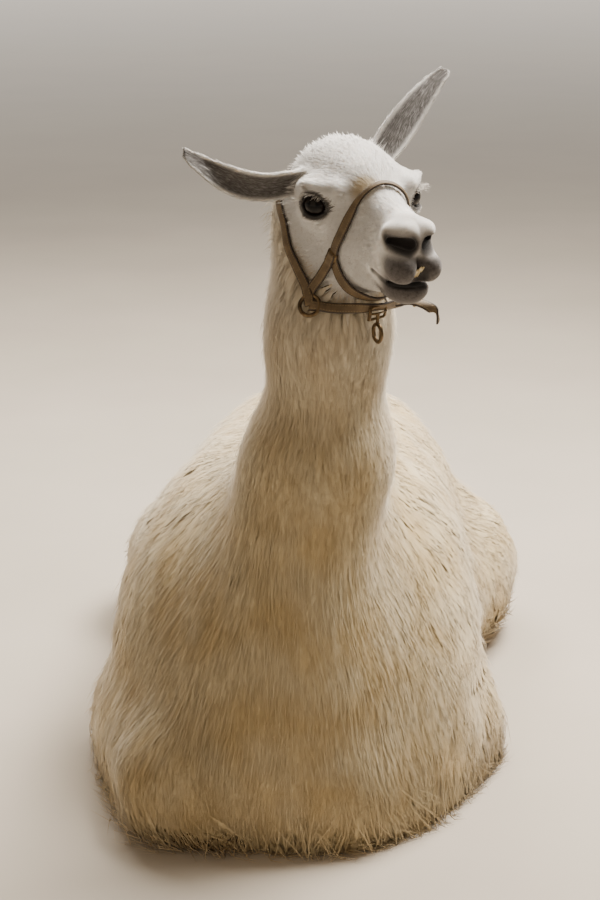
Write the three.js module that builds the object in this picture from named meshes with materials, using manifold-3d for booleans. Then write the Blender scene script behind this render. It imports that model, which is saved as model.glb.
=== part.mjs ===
// A llama lying down with its legs folded under it, head up and turned to its left, in a halter.
// Millimetres, +Z up. It faces -Y and its left side is +X. The origin is on the floor under the
// breastbone, on the body's middle plane. The outlines are those of the fleece, out to its tips.
// The body is one smooth distance field, parted into the animal's parts by thin cuts.

import * as THREE from 'three';
import { mergeVertices } from 'three/addons/utils/BufferGeometryUtils.js';
import Module from 'manifold-3d';

const wasm = await Module();
wasm.setup();

// ---- driving dimensions ----
const GAP = 0.45;                            // clearance between neighbouring solids
const BODY = { width: 656, back: 560, rump: 780, chest: -350 };        // over the fleece
const NECK = { x: 66, y: -195, radius: 87 };  // half way up the neck
const HEAD = { at: [122, -249, 1005], turn: 29.4 };   // midway between the eyes, turned to its left
const EYE = { at: [-10.5, 71.5, 1.5], radius: 20.5 };   // in the head's frame, left eye
const TAIL = { root: [0, 755, 310], tip: [0, 845, 100] };
const EAR = { left: 176, right: 186, half: 24, cup: 17, thick: 7 };
const STRAP = { width: 15, thick: 3, lift: 2 };
const RING = { radius: 15, wire: 3 };
const TOE = { long: 52, radius: 15, nail: 24, pastern: 27 };

// ---- distance fields: each is a function of a point that gives millimetres to its surface ----
const degrees = THREE.MathUtils.degToRad;
const square = (v) => v * v;
const mix = (a, b, t) => a.map((v, i) => v + (b[i] - v) * t);

function blob(centre, radii) {
  return ([x, y, z]) => {
    const q = [x - centre[0], y - centre[1], z - centre[2]];
    const near = Math.hypot(q[0] / radii[0], q[1] / radii[1], q[2] / radii[2]) + 1e-9;
    const steep = Math.hypot(q[0] / square(radii[0]), q[1] / square(radii[1]), q[2] / square(radii[2]));
    return near * (near - 1) / (steep + 1e-12);
  };
}

function limb(from, to, fromRadius, toRadius, squash = [1, 1, 1]) {
  const along = [0, 1, 2].map((i) => (to[i] - from[i]) / squash[i]);
  const length2 = square(along[0]) + square(along[1]) + square(along[2]);
  const least = Math.min(...squash);
  return (p) => {
    const q = [0, 1, 2].map((i) => (p[i] - from[i]) / squash[i]);
    const dot = q[0] * along[0] + q[1] * along[1] + q[2] * along[2];
    const t = Math.min(1, Math.max(0, dot / length2));
    const away = Math.hypot(q[0] - t * along[0], q[1] - t * along[1], q[2] - t * along[2]);
    return (away - fromRadius - (toRadius - fromRadius) * t) * least;
  };
}

const joined = (a, b, blend) => {
  const h = Math.max(blend - Math.abs(a - b), 0) / blend;
  return Math.min(a, b) - h * h * blend / 4;
};

// Grows one field out of a first shape and [blend width, shape] pairs
function grown(first, ...rest) {
  return (p) => rest.reduce((d, [blend, shape]) => joined(d, shape(p), blend), first(p));
}

const carved = (field, tool, blend) => (p) => -joined(-field(p), tool(p), blend);
const bothSides = (field, axis) => (p) => field(p.map((v, i) => (i === axis ? Math.abs(v) : v)));

// ---- the head's own frame: x forward, y to its left, z up ----
const turn = degrees(HEAD.turn);
const forward = [Math.sin(turn), -Math.cos(turn)];
const sideways = [Math.cos(turn), Math.sin(turn)];

function toHead([x, y, z]) {
  const dx = x - HEAD.at[0];
  const dy = y - HEAD.at[1];
  return [dx * forward[0] + dy * forward[1], dx * sideways[0] + dy * sideways[1], z - HEAD.at[2]];
}

function fromHead([a, b, c]) {
  return [
    HEAD.at[0] + a * forward[0] + b * sideways[0],
    HEAD.at[1] + a * forward[1] + b * sideways[1],
    HEAD.at[2] + c,
  ];
}

// ---- the body's shapes ----
const skull = grown(
  blob([-72, 0, 20], [76, 66, 62]),
  [40, blob([-18, 0, 18], [60, 64, 48])],
  [40, limb([10, 0, -4], [132, 0, -20], 44, 28, [1, 0.95, 1])],
);
const face = bothSides(grown(
  skull,
  [40, blob([-34, 34, -56], [62, 34, 66])],
  [40, limb([-45, 0, -96], [103, 0, -80], 40, 31)],
  [30, limb([30, 14, -48], [115, 12, -46], 32, 24)],
), 1);
const muzzle = bothSides(grown(
  blob([139, 0, -24], [34, 32, 26]),
  [14, blob([154, 19.5, -63], [27, 21.5, 23.5])],
  [12, blob([130, 0, -95], [38, 32, 26])],
), 1);
const orbit = bothSides(grown(
  blob([-20, 69, 0.5], [32, 26, 34]),
  [18, limb([-34, 80, 19], [20, 60, 26], 12, 10)],
), 1);
const eyeHollow = bothSides(blob([10, 100, 0.5], [25, 27, 19]), 1);
const headShape = carved(grown(face, [20, muzzle], [25, orbit]), eyeHollow, 10);
const headField = (p) => headShape(toHead(p));

const barrel = grown(
  limb([0, 80, 275], [0, 550, 235], BODY.back / 2 + 5, 262),
  [80, blob([0, 460, 130], [BODY.width / 2, BODY.rump - 350, 190])],
  [90, blob([0, -20, 100], [318, 330, 400])],
);
const neckField = grown(
  limb([0, -20, 400], [55, -160, 600], 130, 97, [1, 1.15, 1]),
  [50, limb([55, -160, 600], [NECK.x, NECK.y, 800], 97, NECK.radius, [1, 1.15, 1])],
  [50, limb([NECK.x, NECK.y, 800], [64, -145, 955], NECK.radius, 90, [1, 1.1, 1])],
  [80, limb([35, -190, 560], [-20, BODY.chest + 150, 130], 95, 175)],
);
const thighs = bothSides(blob([255, 560, 130], [128, 190, 135]), 0);
const trunkField = grown(
  barrel,
  [70, neckField],
  [60, limb([258, 20, 60], [95, -240, 75], 98, 105)],
  [60, limb([-250, 0, 60], [-150, -265, 80], 104, 118)],
  [60, thighs],
);
const fleshField = grown(trunkField, [35, headField]);
const tailField = limb(TAIL.root, TAIL.tip, 58, 50);

// ---- from a field to a closed mesh: rings of points on its surface, one ring after another ----
const direction = (angle, right, up) => right.clone().multiplyScalar(Math.cos(angle))
  .addScaledVector(up, Math.sin(angle));

// The point where a ray going out from a centre inside the field first leaves it
function leaving(field, centre, way) {
  const point = centre.clone();
  for (let round = 0; round < 60; round += 1) {
    const depth = -field(point.toArray());
    if (depth < 0.02) {
      break;
    }
    point.addScaledVector(way, depth * 0.85);
  }
  return point;
}

// Each ring has a centre, and lies in the plane of its right and up vectors
function wrapped(field, rings, angles) {
  const points = rings.flatMap(({ centre, right, up }) => angles.flatMap(
    (angle) => leaving(field, centre, direction(angle, right, up)).toArray(),
  ));
  return lofted(points, angles.length, rings.length);
}

// Even steps from one value up to, but without, another
function spread(from, to, count) {
  return Array.from({ length: count }, (_, i) => from + (to - from) * i / count);
}
const allRound = (count) => spread(0, 2 * Math.PI, count);

function meshFrom(points, index) {
  const geometry = new THREE.BufferGeometry();
  geometry.setAttribute('position', new THREE.Float32BufferAttribute(points, 3));
  geometry.setIndex(index);
  return geometry;
}

// ---- solids: closed meshes that can be joined and cut ----
function solid(geometry) {
  const bare = geometry.clone();
  bare.deleteAttribute('normal');
  bare.deleteAttribute('uv');
  const welded = mergeVertices(bare, 1e-4);
  const vertProperties = new Float32Array(welded.getAttribute('position').array);
  const triVerts = new Uint32Array(welded.index.array);
  return new wasm.Manifold(new wasm.Mesh({ numProp: 3, vertProperties, triVerts }));
}

function geometryOf(body) {
  const mesh = body.getMesh();
  return meshFrom(Array.from(mesh.vertProperties), Array.from(mesh.triVerts));
}

// The same mesh with every vertex moved out by a clearance
function swollen(geometry, by = GAP) {
  const copy = mergeVertices(geometry.clone(), 1e-4);
  copy.computeVertexNormals();
  const position = copy.getAttribute('position');
  const normal = copy.getAttribute('normal');
  for (let i = 0; i < position.count; i += 1) {
    position.setXYZ(
      i,
      position.getX(i) + by * normal.getX(i),
      position.getY(i) + by * normal.getY(i),
      position.getZ(i) + by * normal.getZ(i),
    );
  }
  return copy;
}

// What is left of a cut piece, without crumbs
const largest = (body) => body.decompose().sort((a, b) => b.volume() - a.volume())[0];

const above = (body, normal, point, shift = 0) => {
  return body.trimByPlane(normal.toArray(), normal.dot(point) + shift);
};
const below = (body, normal, point) => above(body, normal.clone().negate(), point);
const onFloor = (body) => body.trimByPlane([0, 0, 1], 0);

function capsule(from, to, radius, segments = 12, caps = 3) {
  const a = new THREE.Vector3(...from);
  const b = new THREE.Vector3(...to);
  const along = b.clone().sub(a);
  const shape = new THREE.CapsuleGeometry(radius, along.length(), caps, segments);
  const lean = new THREE.Quaternion().setFromUnitVectors(new THREE.Vector3(0, 1, 0), along.normalize());
  shape.applyQuaternion(lean);
  const middle = a.add(b).multiplyScalar(0.5);
  shape.translate(middle.x, middle.y, middle.z);
  return shape;
}

// ---- head, neck and trunk, parted by two slanting planes ----
const X = new THREE.Vector3(1, 0, 0);
const Z = new THREE.Vector3(0, 0, 1);
const noseWay = new THREE.Vector3(forward[0], forward[1], 0);
const leftWay = new THREE.Vector3(sideways[0], sideways[1], 0);

// A ring across the head: its centre forward and up in the head's frame, and its lean in degrees
function headRing([along, high, lean]) {
  const up = direction(degrees(90 + lean), noseWay, Z);
  return { centre: new THREE.Vector3(...fromHead([along, 0, high])), right: leftWay, up };
}

const HEAD_RINGS = { neck: [-90, -54, 48.5], skull: [14, -40, 0], nose: [172, -42, 0] };
const skullRings = spread(0, 1, 8).map((t) => headRing(mix(HEAD_RINGS.neck, HEAD_RINGS.skull, t)));
const muzzleRings = [...spread(0, 1, 14), 1].map((t) => {
  return headRing(mix(HEAD_RINGS.skull, HEAD_RINGS.nose, Math.sin(t * Math.PI / 2)));
});
const headSkin = wrapped(fleshField, [...skullRings, ...muzzleRings], allRound(24));

const NECK_RINGS = 11;
const NECK_CUT = {
  at: new THREE.Vector3(28, -140, 505),
  normal: new THREE.Vector3(0.05, -0.45, 0.89).normalize(),
};
const neckTop = skullRings[0];
const neckWay = neckTop.right.clone().cross(neckTop.up).normalize();

function neckRing(t) {
  const normal = NECK_CUT.normal.clone().lerp(neckWay, t).normalize();
  const centre = NECK_CUT.at.clone().lerp(neckTop.centre, t);
  centre.x += 12 * Math.sin(Math.PI * t);
  centre.y -= 34 * Math.sin(Math.PI * t);
  const right = X.clone().lerp(leftWay, t);
  right.addScaledVector(normal, -right.dot(normal)).normalize();
  return { centre, right, up: normal.clone().cross(right) };
}
const neckRings = [...spread(0, 1, NECK_RINGS), 1].map(neckRing);
const neckSkin = wrapped(fleshField, neckRings, allRound(18));

const TRUNK_RINGS = { count: 19, front: BODY.chest - 26, back: BODY.rump + 52, height: 170 };
const NECK_STUB = 12;   // how far the trunk's mesh runs on past the neck's cut before it is trimmed
const trunkRings = spread(0.5, TRUNK_RINGS.count + 0.5, TRUNK_RINGS.count).map((i) => {
  const t = 0.5 - 0.5 * Math.cos(Math.PI * i / TRUNK_RINGS.count);
  const along = TRUNK_RINGS.front + (TRUNK_RINGS.back - TRUNK_RINGS.front) * t;
  return { centre: new THREE.Vector3(0, along, TRUNK_RINGS.height), right: X, up: Z };
});
const trunkAngles = [
  ...spread(degrees(-32), degrees(212), 24),
  ...spread(degrees(212), degrees(328), 4),
];
const pastNeckCut = (p) => NECK_CUT.normal.dot(new THREE.Vector3(...p).sub(NECK_CUT.at));
const bodyField = (p) => Math.max(trunkField(p), pastNeckCut(p) - NECK_STUB);
const bodySkin = wrapped(bodyField, trunkRings, trunkAngles);

const tailRings = [-0.24, -0.17, 0, 0.35, 0.7, 1, 1.15, 1.2].map((t) => {
  const centre = new THREE.Vector3(...mix(TAIL.root, TAIL.tip, t));
  return { centre, right: X, up: new THREE.Vector3(0, 0.92, 0.39) };
});
const tailSkin = wrapped(tailField, tailRings, allRound(12));

const shifted = (ring, by) => {
  const way = ring.right.clone().cross(ring.up).normalize();
  return { way, point: ring.centre.clone().addScaledVector(way, by) };
};
const headFoot = shifted(neckTop, GAP);
let head = above(solid(headSkin), headFoot.way, headFoot.point);
const neck = above(solid(neckSkin), NECK_CUT.normal, NECK_CUT.at, GAP);
let trunk = onFloor(below(solid(bodySkin), NECK_CUT.normal, NECK_CUT.at));
const tail = onFloor(solid(tailSkin));
trunk = trunk.subtract(solid(swollen(tailSkin)));

// ---- legs: what of the fleece each folded leg carries ----
const LEGS = {
  foreleg_left: { from: [300, 20, 25], to: [185, -300, 25], radius: 140 },
  foreleg_right: { from: [-300, 20, 25], to: [-215, -300, 25], radius: 140 },
  hindleg_left: { from: [262, 640, 55], to: [262, 385, 55], radius: 190 },
  hindleg_right: { from: [-262, 640, 55], to: [-262, 385, 55], radius: 190 },
};
const legs = {};
Object.entries(LEGS).forEach(([name, leg]) => {
  legs[name] = trunk.intersect(solid(capsule(leg.from, leg.to, leg.radius)));
  trunk = trunk.subtract(solid(capsule(leg.from, leg.to, leg.radius + GAP)));
});

// ---- feet: two soft toes each, with a nail at each tip, just showing past the fleece ----
const FEET = {
  forefoot: { heel: [240, 20, 32], toes: [268, 108, 22] },
  hindfoot: { heel: [272, 402, 36], toes: [296, 312, 22] },
};
const feet = {};
const nails = {};

function footOf(name, heel, toes, side) {
  const ankle = new THREE.Vector3(heel[0] * side, heel[1], heel[2]);
  const ball = new THREE.Vector3(toes[0] * side, toes[1], toes[2]);
  const way = ball.clone().sub(ankle).setZ(0).normalize();
  const across = new THREE.Vector3(-way.y, way.x, 0);
  const tips = [-1, 1].map((hand) => {
    const start = ball.clone().addScaledVector(across, hand * TOE.radius * 0.85);
    const tip = start.clone().addScaledVector(way, TOE.long).addScaledVector(across, hand * 4);
    tip.z = TOE.radius * 0.75;
    return { start, tip, hand };
  });
  const build = (spare) => tips.reduce(
    (body, toe) => body.add(solid(capsule(toe.start.toArray(), toe.tip.toArray(), TOE.radius + spare, 8, 2))),
    solid(capsule(ankle.toArray(), ball.toArray(), TOE.pastern + spare, 8, 2)),
  );
  const room = build(GAP);
  feet[name] = onFloor(build(0));
  tips.forEach(({ tip, hand }) => {
    const root = tip.clone().addScaledVector(way, TOE.radius * 0.6);
    root.z = TOE.radius * 0.95;
    const point = root.clone().addScaledVector(way, TOE.nail);
    point.z = TOE.radius * 0.42;
    const nail = new THREE.ConeGeometry(7.5, TOE.nail * 1.3, 6);
    const lean = point.clone().sub(root).normalize();
    nail.applyQuaternion(new THREE.Quaternion().setFromUnitVectors(new THREE.Vector3(0, 1, 0), lean));
    nail.translate((root.x + point.x) / 2, (root.y + point.y) / 2, (root.z + point.z) / 2);
    const label = `${name.replace('foot', 'nail')}_${hand * side < 0 ? 'inner' : 'outer'}`;
    nails[label] = solid(nail).subtract(room);
  });
  trunk = trunk.subtract(room);
  Object.keys(legs).forEach((leg) => {
    legs[leg] = legs[leg].subtract(room);
  });
}

Object.entries(FEET).forEach(([kind, foot]) => {
  footOf(`${kind}_left`, foot.heel, foot.toes, 1);
  footOf(`${kind}_right`, foot.heel, foot.toes, -1);
});

// ---- the muzzle's details, then eyes and lower front teeth, each in its own room in the head ----
function headPiece(shape, at, pitch = 0) {
  shape.rotateY(-pitch);
  shape.rotateZ(turn - Math.PI / 2);
  shape.translate(...fromHead(at));
  return solid(shape);
}

function egg(radii, at) {
  const shape = new THREE.SphereGeometry(1, 10, 7);
  shape.scale(...radii);
  return headPiece(shape, at);
}

const LIP = { at: [157, 19, -55], radii: [25, 20.5, 22] };
const NOSTRIL = { at: [168, 20, -24], radii: [13, 7, 7] };
const MOUTH = { at: [140, 0, -87], radii: [50, 60, 2.2] };
const both = ({ at, radii }) => [1, -1].map((side) => egg(radii, [at[0], side * at[1], at[2]]));
both(LIP).forEach((lobe) => { head = head.add(lobe); });
both(NOSTRIL).forEach((dent) => { head = head.subtract(dent); });
head = largest(head.subtract(egg(MOUTH.radii, MOUTH.at)));

const eyes = {};
[['eye_left', 1], ['eye_right', -1]].forEach(([name, side]) => {
  const centre = [EYE.at[0], EYE.at[1] * side, EYE.at[2]];
  const ball = (radius) => headPiece(new THREE.SphereGeometry(radius, 10, 7), centre);
  eyes[name] = ball(EYE.radius);
  head = head.subtract(ball(EYE.radius + GAP));
});

const TEETH = { at: [160, 4, -71.5], long: 28, wide: 16, thick: 6, pitch: 0.75 };
const teethBlock = (spare) => headPiece(
  new THREE.BoxGeometry(TEETH.long + spare, TEETH.wide + spare, TEETH.thick + spare),
  TEETH.at,
  TEETH.pitch,
);
const teeth = teethBlock(0);
head = largest(head.subtract(teethBlock(2 * GAP)));

// ---- ears: cupped leaves on a bent line, with a blunt tip ----
const EARS = {
  ear_right: {
    base: [-78, -60, 32], way: [-0.15, -0.965, 0.22], open: [0.93, -0.1, -0.35],
    length: EAR.right, sag: [0.05, -0.1, -1], drop: 28, twist: -55,
  },
  ear_left: {
    base: [-76, 58, 44], way: [-0.14, 0.69, 0.69], open: [0.8, -0.45, 0.25],
    length: EAR.left, sag: [0.2, -0.7, 0.6], drop: 4, twist: 25,
  },
};
const steps = (pairs, t) => {
  const n = Math.max(1, pairs.findIndex(([stop]) => stop >= t));
  const [from, to] = [pairs[n - 1], pairs[n]];
  return from[1] + (to[1] - from[1]) * (t - from[0]) / (to[0] - from[0]);
};
const EAR_WIDTH = [
  [-1, 0.83], [0, 0.83], [0.2, 1], [0.4, 0.98], [0.65, 0.79], [0.85, 0.58], [0.95, 0.42], [1, 0.17],
];
const EAR_CUP = [[-1, 1], [0, 1], [0.3, 0.76], [0.7, 0.35], [1, 0.06]];
const EAR_THICK = [[-1, 1], [0, 1], [0.5, 0.6], [1, 0.36]];

function earOf(ear) {
  const along = new THREE.Vector3(...ear.way).normalize();
  const open = new THREE.Vector3(...ear.open);
  open.addScaledVector(along, -open.dot(along)).normalize();
  const across = along.clone().cross(open);
  const sag = new THREE.Vector3(...ear.sag).normalize();
  sag.addScaledVector(along, -sag.dot(along));
  const stations = [-0.12, 0, 0.14, 0.3, 0.45, 0.6, 0.74, 0.86, 0.95, 1];
  const rounds = 5;
  const points = [];
  stations.forEach((t) => {
    const inner = Math.max(0, t);
    const centre = new THREE.Vector3(...ear.base).addScaledVector(along, t * ear.length);
    centre.addScaledVector(sag, 4 * inner * (1 - inner) * ear.drop);
    const ease = Math.min(1, Math.max(0, (inner - 0.35) / 0.5));
    const angle = degrees(ear.twist) * ease ** 1.5;
    const wide = across.clone().multiplyScalar(Math.cos(angle)).addScaledVector(open, Math.sin(angle));
    const out = open.clone().multiplyScalar(Math.cos(angle)).addScaledVector(across, -Math.sin(angle));
    const half = EAR.half * steps(EAR_WIDTH, t);
    const cup = EAR.cup * steps(EAR_CUP, t);
    const thick = EAR.thick * steps(EAR_THICK, t);
    for (let n = 0; n < 2 * rounds; n += 1) {
      const front = n < rounds;
      const r = -Math.cos((front ? n : n - rounds) * Math.PI / rounds) * (front ? 1 : -1);
      const skin = thick * Math.sqrt(Math.max(0.1, 1.05 - square(0.85 * r)));
      const p = centre.clone().addScaledVector(wide, r * half);
      p.addScaledVector(out, cup * r * r + (front ? skin : -skin));
      points.push(...fromHead(p.toArray()));
    }
  });
  return solid(lofted(points, 2 * rounds, stations.length));
}

// Skins a row of rings, and closes both ends unless the last ring meets the first
function lofted(points, sides, rings, loop = false) {
  const index = [];
  for (let i = 0; i < (loop ? rings : rings - 1); i += 1) {
    for (let j = 0; j < sides; j += 1) {
      const a = i * sides + j;
      const b = i * sides + (j + 1) % sides;
      const c = ((i + 1) % rings) * sides + j;
      const d = ((i + 1) % rings) * sides + (j + 1) % sides;
      index.push(a, b, d, a, d, c);
    }
  }
  if (!loop) {
    [0, (rings - 1) * sides].forEach((first) => {
      const middle = [0, 0, 0];
      for (let j = 0; j < 3 * sides; j += 1) {
        middle[j % 3] += points[3 * first + j] / sides;
      }
      const pole = points.push(...middle) / 3 - 1;
      for (let j = 0; j < sides; j += 1) {
        const edge = [first + j, first + (j + 1) % sides];
        index.push(pole, ...(first > 0 ? edge : edge.reverse()));
      }
    });
  }
  return facingOut(meshFrom(points, index));
}

function facingOut(geometry) {
  const position = geometry.getAttribute('position');
  const corners = [0, 1, 2].map(() => new THREE.Vector3());
  let volume = 0;
  for (let i = 0; i < geometry.index.count; i += 3) {
    corners.forEach((v, n) => v.fromBufferAttribute(position, geometry.index.getX(i + n)));
    volume += corners[0].dot(corners[1].cross(corners[2]));
  }
  if (volume < 0) {
    geometry.setIndex(Array.from(geometry.index.array).reverse());
  }
  return geometry;
}

const headRoom = solid(swollen(headSkin));
const neckRoom = solid(swollen(neckSkin));
const ears = {};
Object.entries(EARS).forEach(([name, ear]) => {
  ears[name] = largest(earOf(ear).subtract(headRoom).subtract(neckRoom));
});

// ---- the halter: flat straps that lie on the head, and bridge its hollows ----
function slope(p) {
  const h = 1;
  const n = new THREE.Vector3(
    fleshField([p.x + h, p.y, p.z]) - fleshField([p.x - h, p.y, p.z]),
    fleshField([p.x, p.y + h, p.z]) - fleshField([p.x, p.y - h, p.z]),
    fleshField([p.x, p.y, p.z + h]) - fleshField([p.x, p.y, p.z - h]),
  );
  return n.normalize();
}

function laidPath(wayPoints, count, loop) {
  const curve = new THREE.CatmullRomCurve3(
    wayPoints.map((p) => new THREE.Vector3(...fromHead(p))),
    loop,
    'centripetal',
  );
  const points = curve.getSpacedPoints(count).slice(0, loop ? count : count + 1);
  return points.map((p) => {
    for (let round = 0; round < 8; round += 1) {
      const depth = Math.max(0, STRAP.lift - fleshField(p.toArray()));
      p.addScaledVector(slope(p), depth);
    }
    return p;
  });
}

function strapAlong(path, loop, spare = 0) {
  const points = [];
  path.forEach((p, i) => {
    const before = path[loop ? (i + path.length - 1) % path.length : Math.max(0, i - 1)];
    const after = path[loop ? (i + 1) % path.length : Math.min(path.length - 1, i + 1)];
    const along = after.clone().sub(before).normalize();
    const out = slope(p);
    out.addScaledVector(along, -out.dot(along)).normalize();
    const across = along.clone().cross(out);
    [[-1, 0], [1, 0], [1, 1], [-1, 1]].forEach(([side, top]) => {
      const corner = p.clone().addScaledVector(across, side * (STRAP.width / 2 + spare));
      corner.addScaledVector(out, top ? STRAP.thick + spare : -spare);
      points.push(...corner.toArray());
    });
  });
  return solid(lofted(points, 4, path.length, loop));
}

const mirrored = (wayPoints) => wayPoints.map(([a, b, c]) => [a, -b, c]);
const NOSE_SIDE = [[52, 34, 16], [36, 54, -34], [20, 58, -72], [28, 40, -116]];
const NOSEBAND = [[55, 0, 36], ...mirrored(NOSE_SIDE), [44, 0, -132], ...NOSE_SIDE.toReversed()];
const RING_AT = [-5, 84, -147];
const CHEEK = [[20, 57, -64], [2, 70, -100], [-10, 82, -128], RING_AT];
const CROWN_SIDE = [RING_AT, [-16, 84, -126], [-43, 87, -97], [-68, 89, -70], [-86, 88, -36], [-128, 76, 4]];
const CROWN = [...mirrored(CROWN_SIDE), [-146, 0, 52], ...CROWN_SIDE.toReversed()];
const JAW_SIDE = [RING_AT, [18, 52, -148]];
const JAW = [...mirrored(JAW_SIDE), [44, 0, -144], ...JAW_SIDE.toReversed()];
const CHIN_AT = [44, 0, -153];
const LOOSE_END = [[52, 26, -142], [66, 44, -136], [80, 60, -140], [86, 72, -152], [84, 76, -166]];

function turnedTo(shape, centre, normal) {
  const lean = new THREE.Quaternion().setFromUnitVectors(new THREE.Vector3(0, 0, 1), normal);
  shape.applyQuaternion(lean);
  shape.translate(centre.x, centre.y, centre.z);
  return solid(shape);
}

// ---- the halter's pieces; each strap stops short of what it meets ----
const straps = {};
const fittings = {};
const nosePath = laidPath(NOSEBAND, 32, true);
straps.halter_noseband = strapAlong(nosePath, true).subtract(headRoom);
const noseRoom = strapAlong(nosePath, true, GAP);
const ringRooms = [];
const clear = (body, rooms) => largest(rooms.reduce((left, room) => left.subtract(room), body));

function sideRing(side) {
  const at = [RING_AT[0], RING_AT[1] * side, RING_AT[2]];
  const [centre] = laidPath([at, [at[0] + 1, at[1], at[2]]], 1, false);
  const out = slope(centre);
  centre.addScaledVector(out, RING.wire);
  const reach = RING.radius + RING.wire + 1;
  const room = new THREE.CylinderGeometry(reach, reach, 30, 20);
  room.rotateX(Math.PI / 2);
  ringRooms.push(turnedTo(room, centre, out));
  return turnedTo(new THREE.TorusGeometry(RING.radius, RING.wire, 5, 10), centre, out);
}
fittings.halter_ring_left = sideRing(1);
fittings.halter_ring_right = sideRing(-1);

const BUCKLE = [24, 34, 5];
const chinCentre = new THREE.Vector3(...fromHead(CHIN_AT));
const buckleBlock = (spare) => {
  const plate = new THREE.BoxGeometry(...BUCKLE.map((side) => side + spare));
  return turnedTo(plate, chinCentre, slope(chinCentre));
};
const buckleRoom = buckleBlock(2 * GAP);
fittings.halter_buckle = clear(buckleBlock(0), [noseRoom]);
const LINK = { radius: 2.5, long: 30 };
const hung = chinCentre.clone().add(new THREE.Vector3(0, 0, -RING.radius - 16));
const chinRing = turnedTo(new THREE.TorusGeometry(RING.radius - 2, RING.wire, 5, 10), hung, leftWay);
const linkRod = new THREE.CylinderGeometry(LINK.radius, LINK.radius, LINK.long, 6);
linkRod.rotateX(Math.PI / 2);
linkRod.translate(hung.x, hung.y, hung.z + RING.radius - 2 + LINK.long / 2);
fittings.halter_chin_ring = clear(chinRing.add(solid(linkRod)), [buckleRoom]);

const openStrap = (wayPoints, count, rooms) => {
  const strap = strapAlong(laidPath(wayPoints, count, false), false);
  return clear(strap, [...rooms, ...ringRooms]);
};
straps.halter_crown = openStrap(CROWN, 24, [headRoom, neckRoom]);
const cheekRooms = [noseRoom, headRoom, strapAlong(laidPath(CROWN, 24, false), false, GAP)];
straps.halter_cheek_left = openStrap(CHEEK, 7, cheekRooms);
straps.halter_cheek_right = openStrap(mirrored(CHEEK), 7, cheekRooms);
const jawRooms = [...cheekRooms, neckRoom, buckleRoom];
straps.halter_jaw = openStrap(JAW, 14, jawRooms);
const jawStrapRoom = strapAlong(laidPath(JAW, 14, false), false, GAP);
straps.halter_loose_end = openStrap(LOOSE_END, 7, [...jawRooms, jawStrapRoom]);

// ---- the part's nodes ----
const LOOKS = {
  fleece: { color: 0xd8cfbd, roughness: 0.95, metalness: 0 },
  face: { color: 0xcfc9c0, roughness: 0.9, metalness: 0 },
  ear: { color: 0xa9a39b, roughness: 0.9, metalness: 0 },
  pad: { color: 0x5b5650, roughness: 0.8, metalness: 0 },
  nail: { color: 0x2f2a26, roughness: 0.5, metalness: 0 },
  eye: { color: 0x0b0a09, roughness: 0.1, metalness: 0 },
  tooth: { color: 0xc9a76a, roughness: 0.4, metalness: 0 },
  strap: { color: 0x8a7350, roughness: 0.7, metalness: 0 },
  metal: { color: 0x5a4a38, roughness: 0.35, metalness: 0.9 },
};
const group = new THREE.Group();

function addAll(bodies, look) {
  Object.entries(bodies).forEach(([name, body]) => {
    const mesh = new THREE.Mesh(geometryOf(body), new THREE.MeshStandardMaterial(LOOKS[look]));
    mesh.name = name;
    group.add(mesh);
  });
}
addAll({ trunk, neck, tail, ...legs }, 'fleece');
addAll({ head }, 'face');
addAll(ears, 'ear');
addAll(feet, 'pad');
addAll(nails, 'nail');
addAll(eyes, 'eye');
addAll({ lower_incisors: teeth }, 'tooth');
addAll(straps, 'strap');
addAll(fittings, 'metal');
export default group;
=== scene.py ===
"""A llama lying on its folded legs, head up and turned to its left, in a strap halter.

Metres, +Z up; it faces -Y and its left side is +X. One closed skin lies inside the coat by the coat's
depth. The coat is locks of mesh over it that follow the lie of the hair. The eyes, lids, teeth, nails
and each strap and fitting of the halter are pieces of their own.
"""

import math

import bpy
import numpy as np
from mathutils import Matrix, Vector


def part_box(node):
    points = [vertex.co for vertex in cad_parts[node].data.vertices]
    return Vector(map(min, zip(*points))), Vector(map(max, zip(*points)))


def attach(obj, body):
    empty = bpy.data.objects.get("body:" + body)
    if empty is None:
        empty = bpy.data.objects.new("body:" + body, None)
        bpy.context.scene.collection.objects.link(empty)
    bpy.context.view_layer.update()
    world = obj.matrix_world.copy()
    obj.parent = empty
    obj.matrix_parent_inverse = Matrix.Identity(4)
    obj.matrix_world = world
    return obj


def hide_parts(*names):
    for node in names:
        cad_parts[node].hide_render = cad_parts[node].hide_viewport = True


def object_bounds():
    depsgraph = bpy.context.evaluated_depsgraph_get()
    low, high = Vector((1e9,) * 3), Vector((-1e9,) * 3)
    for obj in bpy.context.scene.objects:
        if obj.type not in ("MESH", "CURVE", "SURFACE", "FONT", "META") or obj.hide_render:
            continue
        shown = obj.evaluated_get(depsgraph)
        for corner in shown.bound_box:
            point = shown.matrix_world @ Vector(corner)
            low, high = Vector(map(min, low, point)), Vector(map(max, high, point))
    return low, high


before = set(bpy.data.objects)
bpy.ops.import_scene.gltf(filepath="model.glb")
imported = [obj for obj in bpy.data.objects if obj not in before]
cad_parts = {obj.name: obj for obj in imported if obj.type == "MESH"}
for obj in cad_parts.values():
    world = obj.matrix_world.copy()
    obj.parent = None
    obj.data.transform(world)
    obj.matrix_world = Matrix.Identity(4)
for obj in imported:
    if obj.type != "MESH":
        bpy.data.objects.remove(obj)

cad_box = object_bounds()
rng = np.random.default_rng(41)


# ---------------------------------------------------------------- small helpers
def unit(v):
    """Vectors at length 1."""
    v = np.asarray(v, float)
    return v / np.maximum(np.linalg.norm(v, axis=-1, keepdims=True), 1e-9)


def smooth(x, low, high):
    """0 below low, 1 above high, and an even S between them."""
    t = np.clip((x - low) / (high - low), 0, 1)
    return t * t * (3 - 2 * t)


def middle(node):
    """The middle of a CAD solid's box."""
    low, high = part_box(node)
    return np.array((low + high) / 2)


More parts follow.
